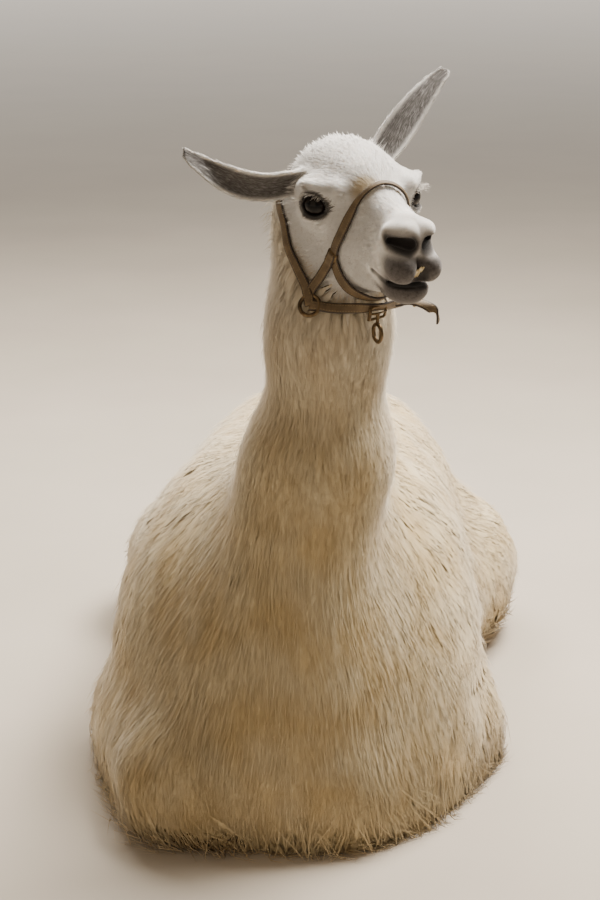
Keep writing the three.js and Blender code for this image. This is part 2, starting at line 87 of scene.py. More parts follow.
# ---------------------------------------------------------------- distance fields, in metres
def blob(p, centre, radii, axes=None):
    """The distance to an ellipsoid; axes are its own directions, one to a row."""
    q = p - np.asarray(centre, np.float32)
    if axes is not None:
        q = q @ np.asarray(axes, np.float32).T
    radii = np.asarray(radii, np.float32)
    near = np.sqrt(((q / radii) ** 2).sum(1)) + 1e-9
    steep = np.sqrt(((q / radii ** 2) ** 2).sum(1)) + 1e-9
    return near * (near - 1) / steep


def limb(p, start, end, start_radius, end_radius, squash=(1, 1, 1)):
    """The distance to a tapered bar with round ends; squash stretches it along x, y and z."""
    squash = np.asarray(squash, np.float32)
    q = (p - np.asarray(start, np.float32)) / squash
    along = (np.asarray(end, np.float32) - np.asarray(start, np.float32)) / squash
    t = np.clip(q @ along / (along @ along), 0, 1)
    away = np.sqrt(((q - t[:, None] * along) ** 2).sum(1))
    return (away - start_radius - (end_radius - start_radius) * t) * squash.min()


def join(a, b, blend):
    """Two forms as one, with a soft seam as wide as blend."""
    h = np.maximum(blend - np.abs(a - b), 0) / blend
    return np.minimum(a, b) - h * h * blend / 4


def carve(a, tool, blend):
    """A form with another pressed into it, with a soft edge."""
    return -join(-a, tool, blend)


def both_sides(p, axis):
    """Points folded onto the positive side of an axis."""
    q = p.copy()
    q[:, axis] = np.abs(q[:, axis])
    return q


def slope(field, p, h=0.0015):
    """The way straight out of a field at each point."""
    steps = np.eye(3, dtype=np.float32) * h
    return unit(np.stack([field(p + s) - field(p - s) for s in steps], 1)).astype(np.float32)


# ---------------------------------------------------------------- the head: x forward, y left, z up
EYE = {"at": np.array([-0.0105, 0.0715, 0.0015]), "radius": 0.0205}
left_eye, right_eye = middle("eye_left"), middle("eye_right")
sideways = unit((left_eye - right_eye) * [1, 1, 0])
forward = np.array([sideways[1], -sideways[0], 0])
HEAD_AXES = np.stack([forward, sideways, [0, 0, 1]]).astype(np.float32)
between_eyes = (left_eye + right_eye) / 2
HEAD_AT = (between_eyes - np.array([EYE["at"][0], 0, EYE["at"][2]]) @ HEAD_AXES).astype(np.float32)


def to_head(p):
    """Points of the animal's frame in the head's."""
    return (p - HEAD_AT) @ HEAD_AXES.T


def from_head(p):
    """Points of the head's frame in the animal's."""
    return np.asarray(p, np.float32) @ HEAD_AXES + HEAD_AT


# ---------------------------------------------------------------- the body, out to the tips of the coat
HEAD_BLEND, EAR_BLEND = 0.035, 0.010   # how widely the head runs into the neck, and an ear into the head


def trunk_field(p):
    """Barrel, belly, neck and chest, the folded legs under the wool, and the tail."""
    q = both_sides(p, 0)
    d = limb(p, (0, 0.08, 0.275), (0, 0.55, 0.235), 0.285, 0.262)
    d = join(d, blob(p, (0, 0.46, 0.13), (0.328, 0.43, 0.19)), 0.08)
    d = join(d, blob(p, (0, -0.02, 0.10), (0.318, 0.33, 0.40)), 0.09)
    neck = limb(p, (0, -0.02, 0.40), (0.055, -0.16, 0.60), 0.13, 0.097, (1, 1.15, 1))
    middle_neck = limb(p, (0.055, -0.16, 0.60), (0.066, -0.195, 0.80), 0.097, 0.087, (1, 1.15, 1))
    neck = join(neck, middle_neck, 0.05)
    upper_neck = limb(p, (0.066, -0.195, 0.80), (0.064, -0.145, 0.955), 0.087, 0.090, (1, 1.1, 1))
    neck = join(neck, upper_neck, 0.05)
    neck = join(neck, limb(p, (0.035, -0.19, 0.56), (-0.02, -0.20, 0.13), 0.095, 0.175), 0.08)
    d = join(d, neck, 0.07)
    d = join(d, limb(p, (0.258, 0.02, 0.06), (0.095, -0.24, 0.075), 0.098, 0.105), 0.06)
    d = join(d, limb(p, (-0.25, 0, 0.06), (-0.15, -0.265, 0.08), 0.104, 0.118), 0.06)
    d = join(d, blob(q, (0.255, 0.56, 0.13), (0.128, 0.19, 0.135)), 0.06)
    return join(d, limb(p, (0, 0.755, 0.31), (0, 0.845, 0.10), 0.058, 0.050), 0.04)


TOES = {"radius": 0.015, "long": 0.052, "pastern": 0.027, "spread": 0.85}
FEET = {
    "forefoot": {"heel": np.array([0.240, 0.020, 0.032]), "ball": np.array([0.268, 0.108, 0.022])},
    "hindfoot": {"heel": np.array([0.272, 0.402, 0.036]), "ball": np.array([0.296, 0.312, 0.022])},
}


def toes_of(foot):
    """The start and tip of a left foot's two toes, the inner one first."""
    way = unit((foot["ball"] - foot["heel"]) * [1, 1, 0])
    across = np.array([-way[1], way[0], 0])
    hands = sorted((-1, 1), key=lambda hand: hand * across[0])
    toes = []
    for hand in hands:
        start = foot["ball"] + across * hand * TOES["radius"] * TOES["spread"]
        tip = start + way * TOES["long"] + across * hand * 0.004
        tip[2] = TOES["radius"] * 0.75
        toes.append((start, tip))
    return way, toes


def feet_field(p):
    """The four feet: pasterns, and two toes each."""
    q = both_sides(p, 0)
    d = np.full(len(p), 1.0, np.float32)
    for foot in FEET.values():
        d = np.minimum(d, limb(q, foot["heel"], foot["ball"], TOES["pastern"], TOES["pastern"]))
        for start, tip in toes_of(foot)[1]:
            d = join(d, limb(q, start, tip, TOES["radius"], TOES["radius"]), 0.006)
    return d


def head_field(p):
    """The head's main forms, in its own frame."""
    q = both_sides(p, 1)
    d = blob(p, (-0.072, 0, 0.020), (0.076, 0.066, 0.062))
    d = join(d, blob(p, (-0.018, 0, 0.018), (0.060, 0.064, 0.048)), 0.04)
    d = join(d, limb(p, (0.010, 0, -0.004), (0.132, 0, -0.020), 0.044, 0.028, (1, 0.95, 1)), 0.04)
    d = join(d, blob(q, (-0.034, 0.034, -0.056), (0.062, 0.034, 0.066)), 0.04)
    d = join(d, limb(p, (-0.045, 0, -0.096), (0.103, 0, -0.080), 0.040, 0.031), 0.04)
    d = join(d, limb(q, (0.030, 0.014, -0.048), (0.115, 0.012, -0.046), 0.032, 0.024), 0.03)
    muzzle = blob(p, (0.139, 0, -0.024), (0.034, 0.032, 0.026))
    muzzle = join(muzzle, blob(q, (0.154, 0.0195, -0.063), (0.027, 0.0215, 0.0235)), 0.014)
    muzzle = join(muzzle, blob(p, (0.130, 0, -0.095), (0.038, 0.032, 0.026)), 0.012)
    d = join(d, muzzle, 0.02)
    orbit = blob(q, (-0.020, 0.069, 0.0005), (0.032, 0.026, 0.034))
    orbit = join(orbit, limb(q, (-0.034, 0.080, 0.0190), (0.020, 0.060, 0.026), 0.012, 0.010), 0.018)
    return join(d, orbit, 0.025)


GAZE = unit([0.70, 0.71, 0.04])            # the left eye's axis, in the head's frame
TILT = math.radians(12)                    # the outer corner sits this much above the inner one
level = unit(np.cross([0, 0, 1], GAZE))    # towards the back of the head
EYE_ACROSS = unit(level * math.cos(TILT) + np.cross(GAZE, level) * math.sin(TILT))
EYE_UP = np.cross(GAZE, EYE_ACROSS)
EYE_AXES = np.stack([GAZE, EYE_ACROSS, EYE_UP])
OPENING = {"across": 0.0186, "up": 0.0150}  # half the opening between the lids
NOSTRIL = (  # the opening and the hollow behind it, on the left
    ((0.1700, 0.0140, -0.0290), (0.1430, 0.0380, -0.0250), 0.0088, 0.0050, (1, 1, 1.2)),
    ((0.1620, 0.0115, -0.0280), (0.1380, 0.0290, -0.0250), 0.0080, 0.0050),
)
MOUTH_LINE = ((0.0900, 0.0348, -0.0775), (0.1080, 0.0345, -0.0820), (0.1255, 0.0330, -0.0855),
              (0.1457, 0.0275, -0.0880), (0.1600, 0.0150, -0.0885), (0.1650, 0, -0.0880))
# where the lip parts
GAP = ((0.177, 0.0035, -0.064), (0.166, 0.004, -0.081), 0.0050, 0.0085, (0.7, 1, 1))


def nostril_field(q):
    """Both parts of a nostril, on the left of the head."""
    return np.minimum(*(limb(q, *hollow) for hollow in NOSTRIL))


def mouth_field(q):
    """The line between the lips from corner to front, and the mouth's hollow behind it."""
    line = [limb(q, a, b, 0.0022, 0.0022) for a, b in zip(MOUTH_LINE, MOUTH_LINE[1:])]
    return np.minimum(np.minimum.reduce(line), blob(q, (0.140, 0, -0.0870), (0.024, 0.030, 0.0026)))


def face_details(d, p):
    """Lids, folds, nostrils, the split lip and the mouth, worked into the head's main forms."""
    q = both_sides(p, 1)
    d = carve(d, blob(q, (0.010, 0.100, 0.0005), (0.025, 0.027, 0.019)), 0.010)
    d = join(d, blob(q, EYE["at"], np.full(3, EYE["radius"] + 0.0026)), 0.010)
    bulge = EYE["at"] + GAZE * 0.0135 + EYE_UP * 0.0245
    d = join(d, limb(q, bulge + EYE_ACROSS * 0.022, bulge - EYE_ACROSS * 0.012, 0.0070, 0.0065), 0.012)
    brow = EYE["at"] + GAZE * 0.0150 + EYE_UP * 0.0220
    fold = limb(q, brow + EYE_ACROSS * 0.020, brow - EYE_ACROSS * 0.014, 0.0016, 0.0014)
    d = carve(d, fold, 0.005)
    bag = EYE["at"] + GAZE * 0.0145 - EYE_UP * 0.0215
    d = join(d, limb(q, bag + EYE_ACROSS * 0.010, bag - EYE_ACROSS * 0.010, 0.0050, 0.0050), 0.008)
    crease = bag + EYE_ACROSS * 0.012 + [0, 0, -0.0085], bag - EYE_ACROSS * 0.013 + [0, 0, -0.0080]
    d = carve(d, limb(q, *crease, 0.0012, 0.0012), 0.005)
    opening = blob(q, EYE["at"] + GAZE * 0.022, (0.020, OPENING["across"], OPENING["up"]), EYE_AXES)
    d = carve(d, opening, 0.0015)
    tear = EYE["at"] + GAZE * 0.0175
    inner = tear - EYE_ACROSS * 0.014 - EYE_UP * 0.003, tear - EYE_ACROSS * 0.0235 - EYE_UP * 0.005
    outer = tear + EYE_ACROSS * 0.014, tear + EYE_ACROSS * 0.0230 + EYE_UP * 0.001
    for corner in (inner, outer):
        d = carve(d, limb(q, *corner, 0.0030, 0.0012), 0.003)
    wing = limb(q, (0.162, 0.015, -0.0100), (0.136, 0.0315, -0.0135), 0.0085, 0.0075)
    d = join(d, wing, 0.018)
    d = carve(d, nostril_field(q), 0.005)
    d = carve(d, limb(p, (0.183, 0, -0.036), (0.182, 0.002, -0.060), 0.0030, 0.0040), 0.008)
    d = carve(d, limb(p, *GAP), 0.006)
    return carve(d, mouth_field(q), 0.004)


EARS = (
    {
        "base": (-0.078, -0.060, 0.032), "way": (-0.15, -0.965, 0.22), "open": (0.93, -0.10, -0.35),
        "length": 0.186, "sag": (0.05, -0.10, -1.0), "drop": 0.028, "twist": -55,
    },
    {
        "base": (-0.076, 0.058, 0.044), "way": (-0.14, 0.69, 0.69), "open": (0.80, -0.45, 0.25),
        "length": 0.176, "sag": (0.2, -0.7, 0.6), "drop": 0.004, "twist": 25,
    },
)
EAR_HALF = ((0, 0.2, 0.4, 0.65, 0.85, 0.95, 1), (0.020, 0.024, 0.0235, 0.0200, 0.0165, 0.0130, 0.0075))
EAR_CUP = ((0, 0.3, 0.7, 1), (0.017, 0.013, 0.006, 0.001))
EAR_THICK = ((0, 0.5, 1), (0.007, 0.0042, 0.0025))


def ear_place(p, ear):
    """Along the ear (0 base, 1 tip), across it and out of its cup, for points in the head's frame."""
    way = unit(ear["way"])
    out = np.asarray(ear["open"], float)
    out = unit(out - way * (out @ way))
    wide = np.cross(way, out)
    sag = unit(ear["sag"])
    sag = sag - way * (sag @ way)
    q = p - np.asarray(ear["base"], np.float32)
    t = q @ way.astype(np.float32) / ear["length"]
    inner = np.clip(t, 0, 1)
    q = q - (4 * inner * (1 - inner) * ear["drop"])[:, None] * sag.astype(np.float32)
    u = q @ wide.astype(np.float32)
    v = q @ out.astype(np.float32)
    angle = math.radians(ear["twist"]) * np.clip((inner - 0.35) / 0.5, 0, 1) ** 1.5
    return t, u * np.cos(angle) + v * np.sin(angle), v * np.cos(angle) - u * np.sin(angle)


def ear_field(p, ear):
    """One ear: a thin leaf that is cupped across and twists towards its tip."""
    t, u, v = ear_place(p, ear)
    inner = np.clip(t, 0, 1)
    half = np.interp(inner, *EAR_HALF)
    cup = np.interp(inner, *EAR_CUP)
    thick = np.interp(inner, *EAR_THICK)
    r = np.clip(np.abs(u) / half, 0, 1.1)
    leaf = np.abs(v - cup * r ** 2) - thick * np.sqrt(np.clip(1.05 - (r * 0.85) ** 2, 0.02, 1))
    leaf = leaf / np.sqrt(1 + (2 * cup / half) ** 2 * np.clip(r, 0, 1) ** 2)
    ends = np.maximum(-t - 0.08, t - 1) * ear["length"]
    return np.maximum(np.maximum(leaf, np.abs(u) - half), ends)


def ears_field(p):
    """Both ears."""
    return np.minimum(*(ear_field(p, ear) for ear in EARS))


def flesh_field(p):
    """Trunk, neck and head, out to the tips of the coat."""
    return join(trunk_field(p), head_field(to_head(p)), HEAD_BLEND)


def outline(p):
    """All of the animal out to the tips of its coat."""
    p = p.astype(np.float32)
    d = join(flesh_field(p), ears_field(to_head(p)), EAR_BLEND)
    return np.minimum(d, feet_field(p))


def detailed_outline(p):
    """The same, with the folds and openings of the face."""
    w = to_head(p)
    flesh = join(trunk_field(p), face_details(head_field(w), w), HEAD_BLEND)
    return join(flesh, ears_field(w), EAR_BLEND)


# ---------------------------------------------------------------- where each kind of coat grows
DEPTH = {"wool": 0.013, "face": 0.0012}   # how far the skin lies inside the coat's tips
# where the wool of the neck gives way to hair: a point on the line, and the way across it
HEAD_EDGE = {"at": (-0.090, -0.054), "way": (0.663, 0.749)}


def past_edge(w):
    """How far points lie on the head's side of the wool's edge, in the head's frame."""
    (forth, rise), (along, up) = HEAD_EDGE["at"], HEAD_EDGE["way"]
    return (w[:, 0] - forth) * along + (w[:, 2] - rise) * up


def headness(p):
    """1 on the face and ears, 0 on the neck and body."""
    w = to_head(p)
    near = smooth(-np.linalg.norm(w, axis=1), -0.36, -0.30)
    return smooth(past_edge(w), -0.028, 0.026) * near


def footness(p):
    """1 on the feet, 0 away from them."""
    return smooth(-feet_field(p.astype(np.float32)), -0.012, 0.002)


def coat_depth(p):
    """How thick the coat is at each point, in metres."""
    wool = np.float32(DEPTH["wool"])
    bare = np.maximum(headness(p), footness(p))
    return (wool + (DEPTH["face"] - wool) * bare).astype(np.float32)


# ---------------------------------------------------------------- meshes from fields
def grid_line(*stretches):
    """Coordinates along one axis, from (start, end, step) stretches that follow one another."""
    parts = [np.arange(start, end - step / 2, step) for start, end, step in stretches]
    return np.concatenate(parts + [[stretches[-1][1]]])


def sampled(field, lines, block=12):
    """The field on a grid; blocks far from the surface take their middle's value."""
    count = [len(line) for line in lines]
    values = np.empty(count, np.float32)
    starts = [np.arange(0, n, block) for n in count]
    near = []
    corners = np.stack(np.meshgrid(*starts, indexing="ij"), -1).reshape(-1, 3)
    ends = np.minimum(corners + block, count)
    low = np.stack([lines[i][corners[:, i]] for i in range(3)], 1)
    high = np.stack([lines[i][ends[:, i] - 1] for i in range(3)], 1)
    reach = np.linalg.norm(high - low, axis=1) * 0.68 + 0.006
    at_middle = field(((low + high) / 2).astype(np.float32))
    for start, end, value, span in zip(corners, ends, at_middle, reach):
        where = tuple(slice(a, b) for a, b in zip(start, end))
        values[where] = value
        if abs(value) < span:
            near.append(where)
    for batch in range(0, len(near), 40):
        chunk = near[batch:batch + 40]
        places = [np.stack(np.meshgrid(*[line[w] for line, w in zip(lines, where)], indexing="ij"), -1)
                  for where in chunk]
        found = field(np.concatenate([place.reshape(-1, 3) for place in places]).astype(np.float32))
        used = 0
        for where, place in zip(chunk, places):
            size = place[..., 0].size
            values[where] = found[used:used + size].reshape(place.shape[:3])
            used += size
    return values


def surface(field, lines):
    """The closed surface where a field is 0, as vertices and four-sided faces."""
    values = sampled(field, lines)
    inside = values < 0
    count = np.array(values.shape)
    corners = [(i, j, k) for i in (0, 1) for j in (0, 1) for k in (0, 1)]
    filled = sum(inside[i:count[0] - 1 + i, j:count[1] - 1 + j, k:count[2] - 1 + k].astype(np.int8)
                 for i, j, k in corners)
    crossed = (filled > 0) & (filled < 8)
    cells = np.argwhere(crossed)
    number = np.full(crossed.shape, -1, np.int64)
    number[crossed] = np.arange(len(cells))
    total = np.zeros((len(cells), 3))
    hits = np.zeros(len(cells))
    for corner in corners:
        for axis in range(3):
            if corner[axis]:
                continue
            other = list(corner)
            other[axis] = 1
            a = values[tuple((cells + corner).T)]
            b = values[tuple((cells + other).T)]
            cross = (a < 0) != (b < 0)
            point = np.tile(np.array(corner, float), (len(cells), 1))
            point[:, axis] += np.where(cross, a / np.where(cross, a - b, 1), 0)
            total += point * cross[:, None]
            hits += cross
    place = cells + total / hits[:, None]
    vertices = np.stack([np.interp(place[:, i], np.arange(count[i]), lines[i]) for i in range(3)], 1)
    faces = []
    for axis in range(3):
        u, v = (axis + 1) % 3, (axis + 2) % 3
        here, there = [slice(None)] * 3, [slice(None)] * 3
        here[axis], there[axis] = slice(0, -1), slice(1, None)
        here[u] = there[u] = slice(1, count[u] - 1)
        here[v] = there[v] = slice(1, count[v] - 1)
        a, b = inside[tuple(here)], inside[tuple(there)]
        for flip, edge in ((False, a & ~b), (True, ~a & b)):
            at = np.argwhere(edge)
            at[:, u] += 1
            at[:, v] += 1
            ring = []
            for du, dv in ((1, 1), (0, 1), (0, 0), (1, 0)):
                cell = at.copy()
                cell[:, u] -= du
                cell[:, v] -= dv
                ring.append(number[tuple(cell.T)])
            ring = np.stack(ring, 1)
            faces.append(ring[:, ::-1] if flip else ring)
    return vertices, np.concatenate(faces)


def mesh_object(name, vertices, faces, material, smooth_shaded=True):
    """An object from arrays; faces is one array, or one for each number of corners."""
    groups = faces if isinstance(faces, list) else [faces]
    mesh = bpy.data.meshes.new(name)
    sizes = np.concatenate([np.full(len(group), group.shape[1]) for group in groups])
    corners = np.concatenate([group.reshape(-1) for group in groups])
    mesh.vertices.add(len(vertices))
    mesh.vertices.foreach_set("co", np.asarray(vertices, np.float32).reshape(-1))
    mesh.loops.add(len(corners))
    mesh.loops.foreach_set("vertex_index", corners.astype(np.int32))
    mesh.polygons.add(len(sizes))
    mesh.polygons.foreach_set("loop_start", (np.cumsum(sizes) - sizes).astype(np.int32))
    mesh.polygons.foreach_set("use_smooth", np.full(len(sizes), smooth_shaded))
    mesh.update(calc_edges=True)
    mesh.materials.append(material)
    piece = bpy.data.objects.new(name, mesh)
    bpy.context.scene.collection.objects.link(piece)
    return piece


def store(piece, name, values):
    """Keeps one number per vertex on the mesh, for its material to read."""
    attribute = piece.data.attributes.new(name, "FLOAT", "POINT")
    attribute.data.foreach_set("value", np.asarray(values, np.float32))


def finished(piece, slot, *nodes):
    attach(piece, "root")
    if nodes:
        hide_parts(*nodes)
    return piece


# ---------------------------------------------------------------- materials
def colour(code):
    """An sRGB hex value as linear red, green, blue and alpha."""
    parts = [int(code[i:i + 2], 16) / 255 for i in (1, 3, 5)]
    return tuple(v / 12.92 if v <= 0.04045 else ((v + 0.055) / 1.055) ** 2.4 for v in parts) + (1.0,)


def add(tree, kind, settings=None, inputs=None):
    """One shader node; each input is a number, a tuple, a hex colour or another node's output."""
    node = tree.nodes.new(kind)
    for key, value in (settings or {}).items():
        setattr(node, key, value)
    for key, source in (inputs or {}).items():
        if isinstance(source, bpy.types.NodeSocket):
            tree.links.new(source, node.inputs[key])
        else:
            node.inputs[key].default_value = colour(source) if isinstance(source, str) else source
    return node


def object_place(tree):
    """Where a point is on the object, in metres."""
    return add(tree, "ShaderNodeTexCoord").outputs["Object"]


def stored(tree, name):
    """A number kept on the mesh by store()."""
    return add(tree, "ShaderNodeAttribute", {"attribute_name": name}).outputs["Fac"]


def noise(tree, place, scale, detail=2.0, roughness=0.5):
    """Smooth unevenness, 0 to 1."""
    inputs = {"Vector": place, "Scale": scale, "Detail": detail, "Roughness": roughness}
    return add(tree, "ShaderNodeTexNoise", None, inputs).outputs["Fac"]


def ramp(tree, factor, *stops):
    """A colour for each value of factor, from stops of (value, colour)."""
    node = add(tree, "ShaderNodeValToRGB", None, {"Fac": factor})
    elements = node.color_ramp.elements
    for place, (at, code) in enumerate(stops):
        element = elements[place] if place < 2 else elements.new(at)
        element.position = at
        element.color = colour(code)
    return node.outputs["Color"]


def ranged(tree, value, low, high, to_low=0.0, to_high=1.0):
    """A value taken from one range to another, and held inside it."""
    inputs = {"Value": value, "From Min": low, "From Max": high, "To Min": to_low, "To Max": to_high}
    return add(tree, "ShaderNodeMapRange", None, inputs).outputs["Result"]


def maths(tree, operation, *inputs):
    """One sum of up to three inputs."""
    return add(tree, "ShaderNodeMath", {"operation": operation}, dict(enumerate(inputs))).outputs["Value"]


def mixed(tree, factor, under, over, blend="MIX"):
    """One colour over another, by a factor."""
    node = add(tree, "ShaderNodeMix", {"data_type": "RGBA", "blend_type": blend},
               {0: factor, 6: under, 7: over})
    return node.outputs[2]


def new_material(name):
    """An empty material and its node tree."""
    material = bpy.data.materials.new(name)
    material.use_nodes = True
    tree = material.node_tree
    tree.nodes.clear()
    return material, tree


def finish_material(tree, inputs, bump=None):
    """The principled shader and the output; bump is (height, strength, distance in metres)."""
    inputs = dict(inputs)
    if bump:
        raised = add(tree, "ShaderNodeBump", None, dict(zip(("Height", "Strength", "Distance"), bump)))
        inputs["Normal"] = raised.outputs["Normal"]
    shader = add(tree, "ShaderNodeBsdfPrincipled", None, inputs)
    add(tree, "ShaderNodeOutputMaterial", None, {"Surface": shader.outputs["BSDF"]})


def coat_colour(tree):
    """The markings that skin and coat share: cream fleece soiled low down and in patches, a white face
    with grey speckle, a grey muzzle, grey cups to the ears and a yellow stain over the nose. Painted
    shade and light are laid in too: the fleece is painted darker between its tufts and lighter on their
    crests, the grey muzzle holds painted shade round the nostrils and under the chin, and near-black
    painted shade fills the nostrils, the mouth line, the parted lip and the eye sockets."""
    place, tuft_shade_and_tone = object_place(tree), stored(tree, "tuft_shade_and_tone")
    coat = ramp(tree, noise(tree, place, 12.0, 1.5), (0.34, "#e0c490"), (0.62, "#ebd5a8"))
    # painted shade: the soil's tan #9a7b4c is laid heaviest in the valleys between tufts, where shade
    # falls, and faintly on their crests; the soil mask itself is dirt
    painted_shade_between_tufts = ranged(tree, tuft_shade_and_tone, -0.60, 0.45, 1.0, 0.10)
    coat = mixed(tree, maths(tree, "MULTIPLY", stored(tree, "soil"), painted_shade_between_tufts), coat, "#9a7b4c")
    speckle = noise(tree, place, 190.0, 3.0, 0.7)
    white = ramp(tree, speckle, (0.26, "#d8d3cc"), (0.46, "#f2efea"))
    grey = ramp(tree, speckle, (0.30, "#2c2727"), (0.66, "#4e4847"))
    # bare lays near-black #201c1b painted shade in the face's hollows; grey holds painted shade by the
    # nostrils and under the chin
    for name, tint in (("face", white), ("grey", grey), ("stain", "#b79a5c"), ("bare", "#201c1b")):
        coat = mixed(tree, stored(tree, name), coat, tint)
    # painted shade and light: darker in the tufts' valleys, lighter on their crests, from the stored tuft
    # shade
    return mixed(tree, 1.0, coat, ranged(tree, tuft_shade_and_tone, -1.0, 1.0, 0.90, 1.06), "MULTIPLY")


HAIRY = {"Roughness": 0.85, "Sheen Weight": 0.25, "Sheen Roughness": 0.5, "Specular IOR Level": 0.2,
         "Subsurface Scale": 1.0}


def fleece_material():
    """Llama fleece: long fine matt wool, in strands 1 mm wide and 30 mm long, with a soft edge."""
    material, tree = new_material("llama_fleece")
    drawn_out = maths(tree, "MULTIPLY", stored(tree, "along"), 0.035)
    place = add(tree, "ShaderNodeCombineXYZ", None, {"X": stored(tree, "across"), "Y": drawn_out})
    strands = noise(tree, place.outputs["Vector"], 1000.0, 2.0, 0.6)
    tint = mixed(tree, 1.0, coat_colour(tree), ranged(tree, strands, 0.25, 0.75, 0.90, 1.06), "MULTIPLY")
    finish_material(tree, {**HAIRY, "Base Color": tint, "Subsurface Weight": 0.3,
                           "Subsurface Radius": (0.012, 0.010, 0.008)}, (strands, 0.4, 0.0007))
    return material


def hide_material():
    """Short flat hair on hide: strands about 1 mm by 8 mm that run back from the nose."""
    material, tree = new_material("short_haired_hide")
    lie = add(tree, "ShaderNodeMapping", None, {
        "Vector": object_place(tree), "Rotation": (0, 0, math.atan2(-forward[1], -forward[0])),
        "Scale": (110.0, 750.0, 750.0)})
    strands = noise(tree, lie.outputs["Vector"], 1.0)
    finish_material(tree, {**HAIRY, "Base Color": coat_colour(tree), "Subsurface Weight": 0.6,
                           "Subsurface Radius": (0.008, 0.007, 0.006)}, (strands, 0.4, 0.0005))
    return material


def eye_material():
    """A wet, nearly black eye: dark brown iris, a wide flat pupil, a clear shining front."""
    material, tree = new_material("wet_eye")
    rings = ramp(tree, stored(tree, "pupil"), (0.48, "#040303"), (0.58, "#150d09"), (0.86, "#100907"),
                 (0.95, "#080605"))
    finish_material(tree, {"Base Color": rings, "Roughness": 0.30, "IOR": 1.34, "Specular IOR Level": 0.1,
                           "Coat Weight": 0.35, "Coat Roughness": 0.03})
    return material


def grained_material(name, scale, detail, dark, light, shader, bump=None):
    """One substance between a dark and a light colour with a fine grain, which can also roughen it."""
    material, tree = new_material(name)
    grain = noise(tree, object_place(tree), scale, detail)
    tint = ramp(tree, grain, (0.3, dark), (0.7, light))
    finish_material(tree, {**shader, "Base Color": tint}, bump and (grain, *bump))
    return material


def strap_material():
    """Worn tan strap: painted shade darkening its edges, a row of stitches 4 mm long inside each edge,
    scuffs and grain.
    """
    material, tree = new_material("stitched_tan_strap")
    place = object_place(tree)
    grain = noise(tree, place, 520.0, 4.0, 0.65)
    tan = ramp(tree, noise(tree, place, 70.0, 3.0), (0.3, "#4c3d28"), (0.7, "#6d5a3e"))
    off_middle = maths(tree, "ABSOLUTE", stored(tree, "across"))
    # painted shade: the strap darkens to #2c2117 towards its rounded edges
    shaded_edges = mixed(tree, ranged(tree, off_middle, 0.70, 0.92), tan, "#2c2117")
    in_stitch = maths(tree, "GREATER_THAN", maths(tree, "SINE", stored(tree, "along")), -0.3)
    in_row = maths(tree, "COMPARE", maths(tree, "SUBTRACT", off_middle, 0.58), 0.0, 0.07)
    stitch = maths(tree, "MULTIPLY", in_row, in_stitch)
    height = maths(tree, "MULTIPLY_ADD", stitch, 0.6, grain)
    finish_material(tree, {"Base Color": mixed(tree, stitch, shaded_edges, "#7d6947"), "Roughness": 0.6,
                           "IOR": 1.5}, (height, 0.5, 0.0006))
    return material


def fitting_material():
    """Dulled bronze hardware: brown metal, brighter where it rubs, pitted at about 1 mm."""
    material, tree = new_material("dulled_bronze")
    place = object_place(tree)
    wear = noise(tree, place, 90.0)
    tint = ramp(tree, wear, (0.35, "#463828"), (0.7, "#857052"))
    finish_material(tree, {"Base Color": tint, "Metallic": 0.9,
                           "Roughness": ranged(tree, wear, 0.0, 1.0, 0.55, 0.3)},
                    (noise(tree, place, 800.0, 3.0), 0.35, 0.0003))
    return material


def floor_material():
    """A plain pale painted floor, faintly uneven. Far off it glows a little, as a lit studio wall would,
    so that it stays pale beyond the lights' reach."""
    material, tree = new_material("pale_painted_floor")
    place = object_place(tree)
    tint = ramp(tree, noise(tree, place, 2.0, 4.0), (0.3, "#bdb4a7"), (0.7, "#c5bcaf"))
    away = add(tree, "ShaderNodeVectorMath", {"operation": "LENGTH"}, {0: place}).outputs["Value"]
    finish_material(tree, {"Base Color": tint, "Roughness": 0.8, "Emission Color": "#e3dcd2",
                           "Emission Strength": ranged(tree, away, 2.5, 13.0, 0.0, 0.9)})
    return material


fleece = fleece_material()
hide = hide_material()
wet_eye = eye_material()
# bare damp lid skin with wrinkles about 1 mm apart
lid_skin = grained_material("bare_lid_skin", 900.0, 2.0, "#0e0c0c", "#1c1817",
                            {"Roughness": 0.6, "Specular IOR Level": 0.3}, (0.4, 0.0004))
# worn yellow enamel with fine cracks about 2.5 mm apart
enamel = grained_material("worn_enamel", 420.0, 3.0, "#c3a56a", "#e8d9b0",
                          {"Roughness": 0.35, "IOR": 1.62}, (0.2, 0.0003))
# dark worn horn, matt, with growth lines about 1.5 mm apart
horn = grained_material("worn_horn", 650.0, 2.0, "#1d1815", "#4a4038",
                        {"Roughness": 0.5, "IOR": 1.54}, (0.3, 0.0005))
strap_tan = strap_material()
bronze = fitting_material()
# single pale hairs, a little shiny, faintly banded every 3 mm
pale_hair = grained_material("pale_hair", 300.0, 2.0, "#cfc8bd", "#f6f2ea", {"Roughness": 0.45})
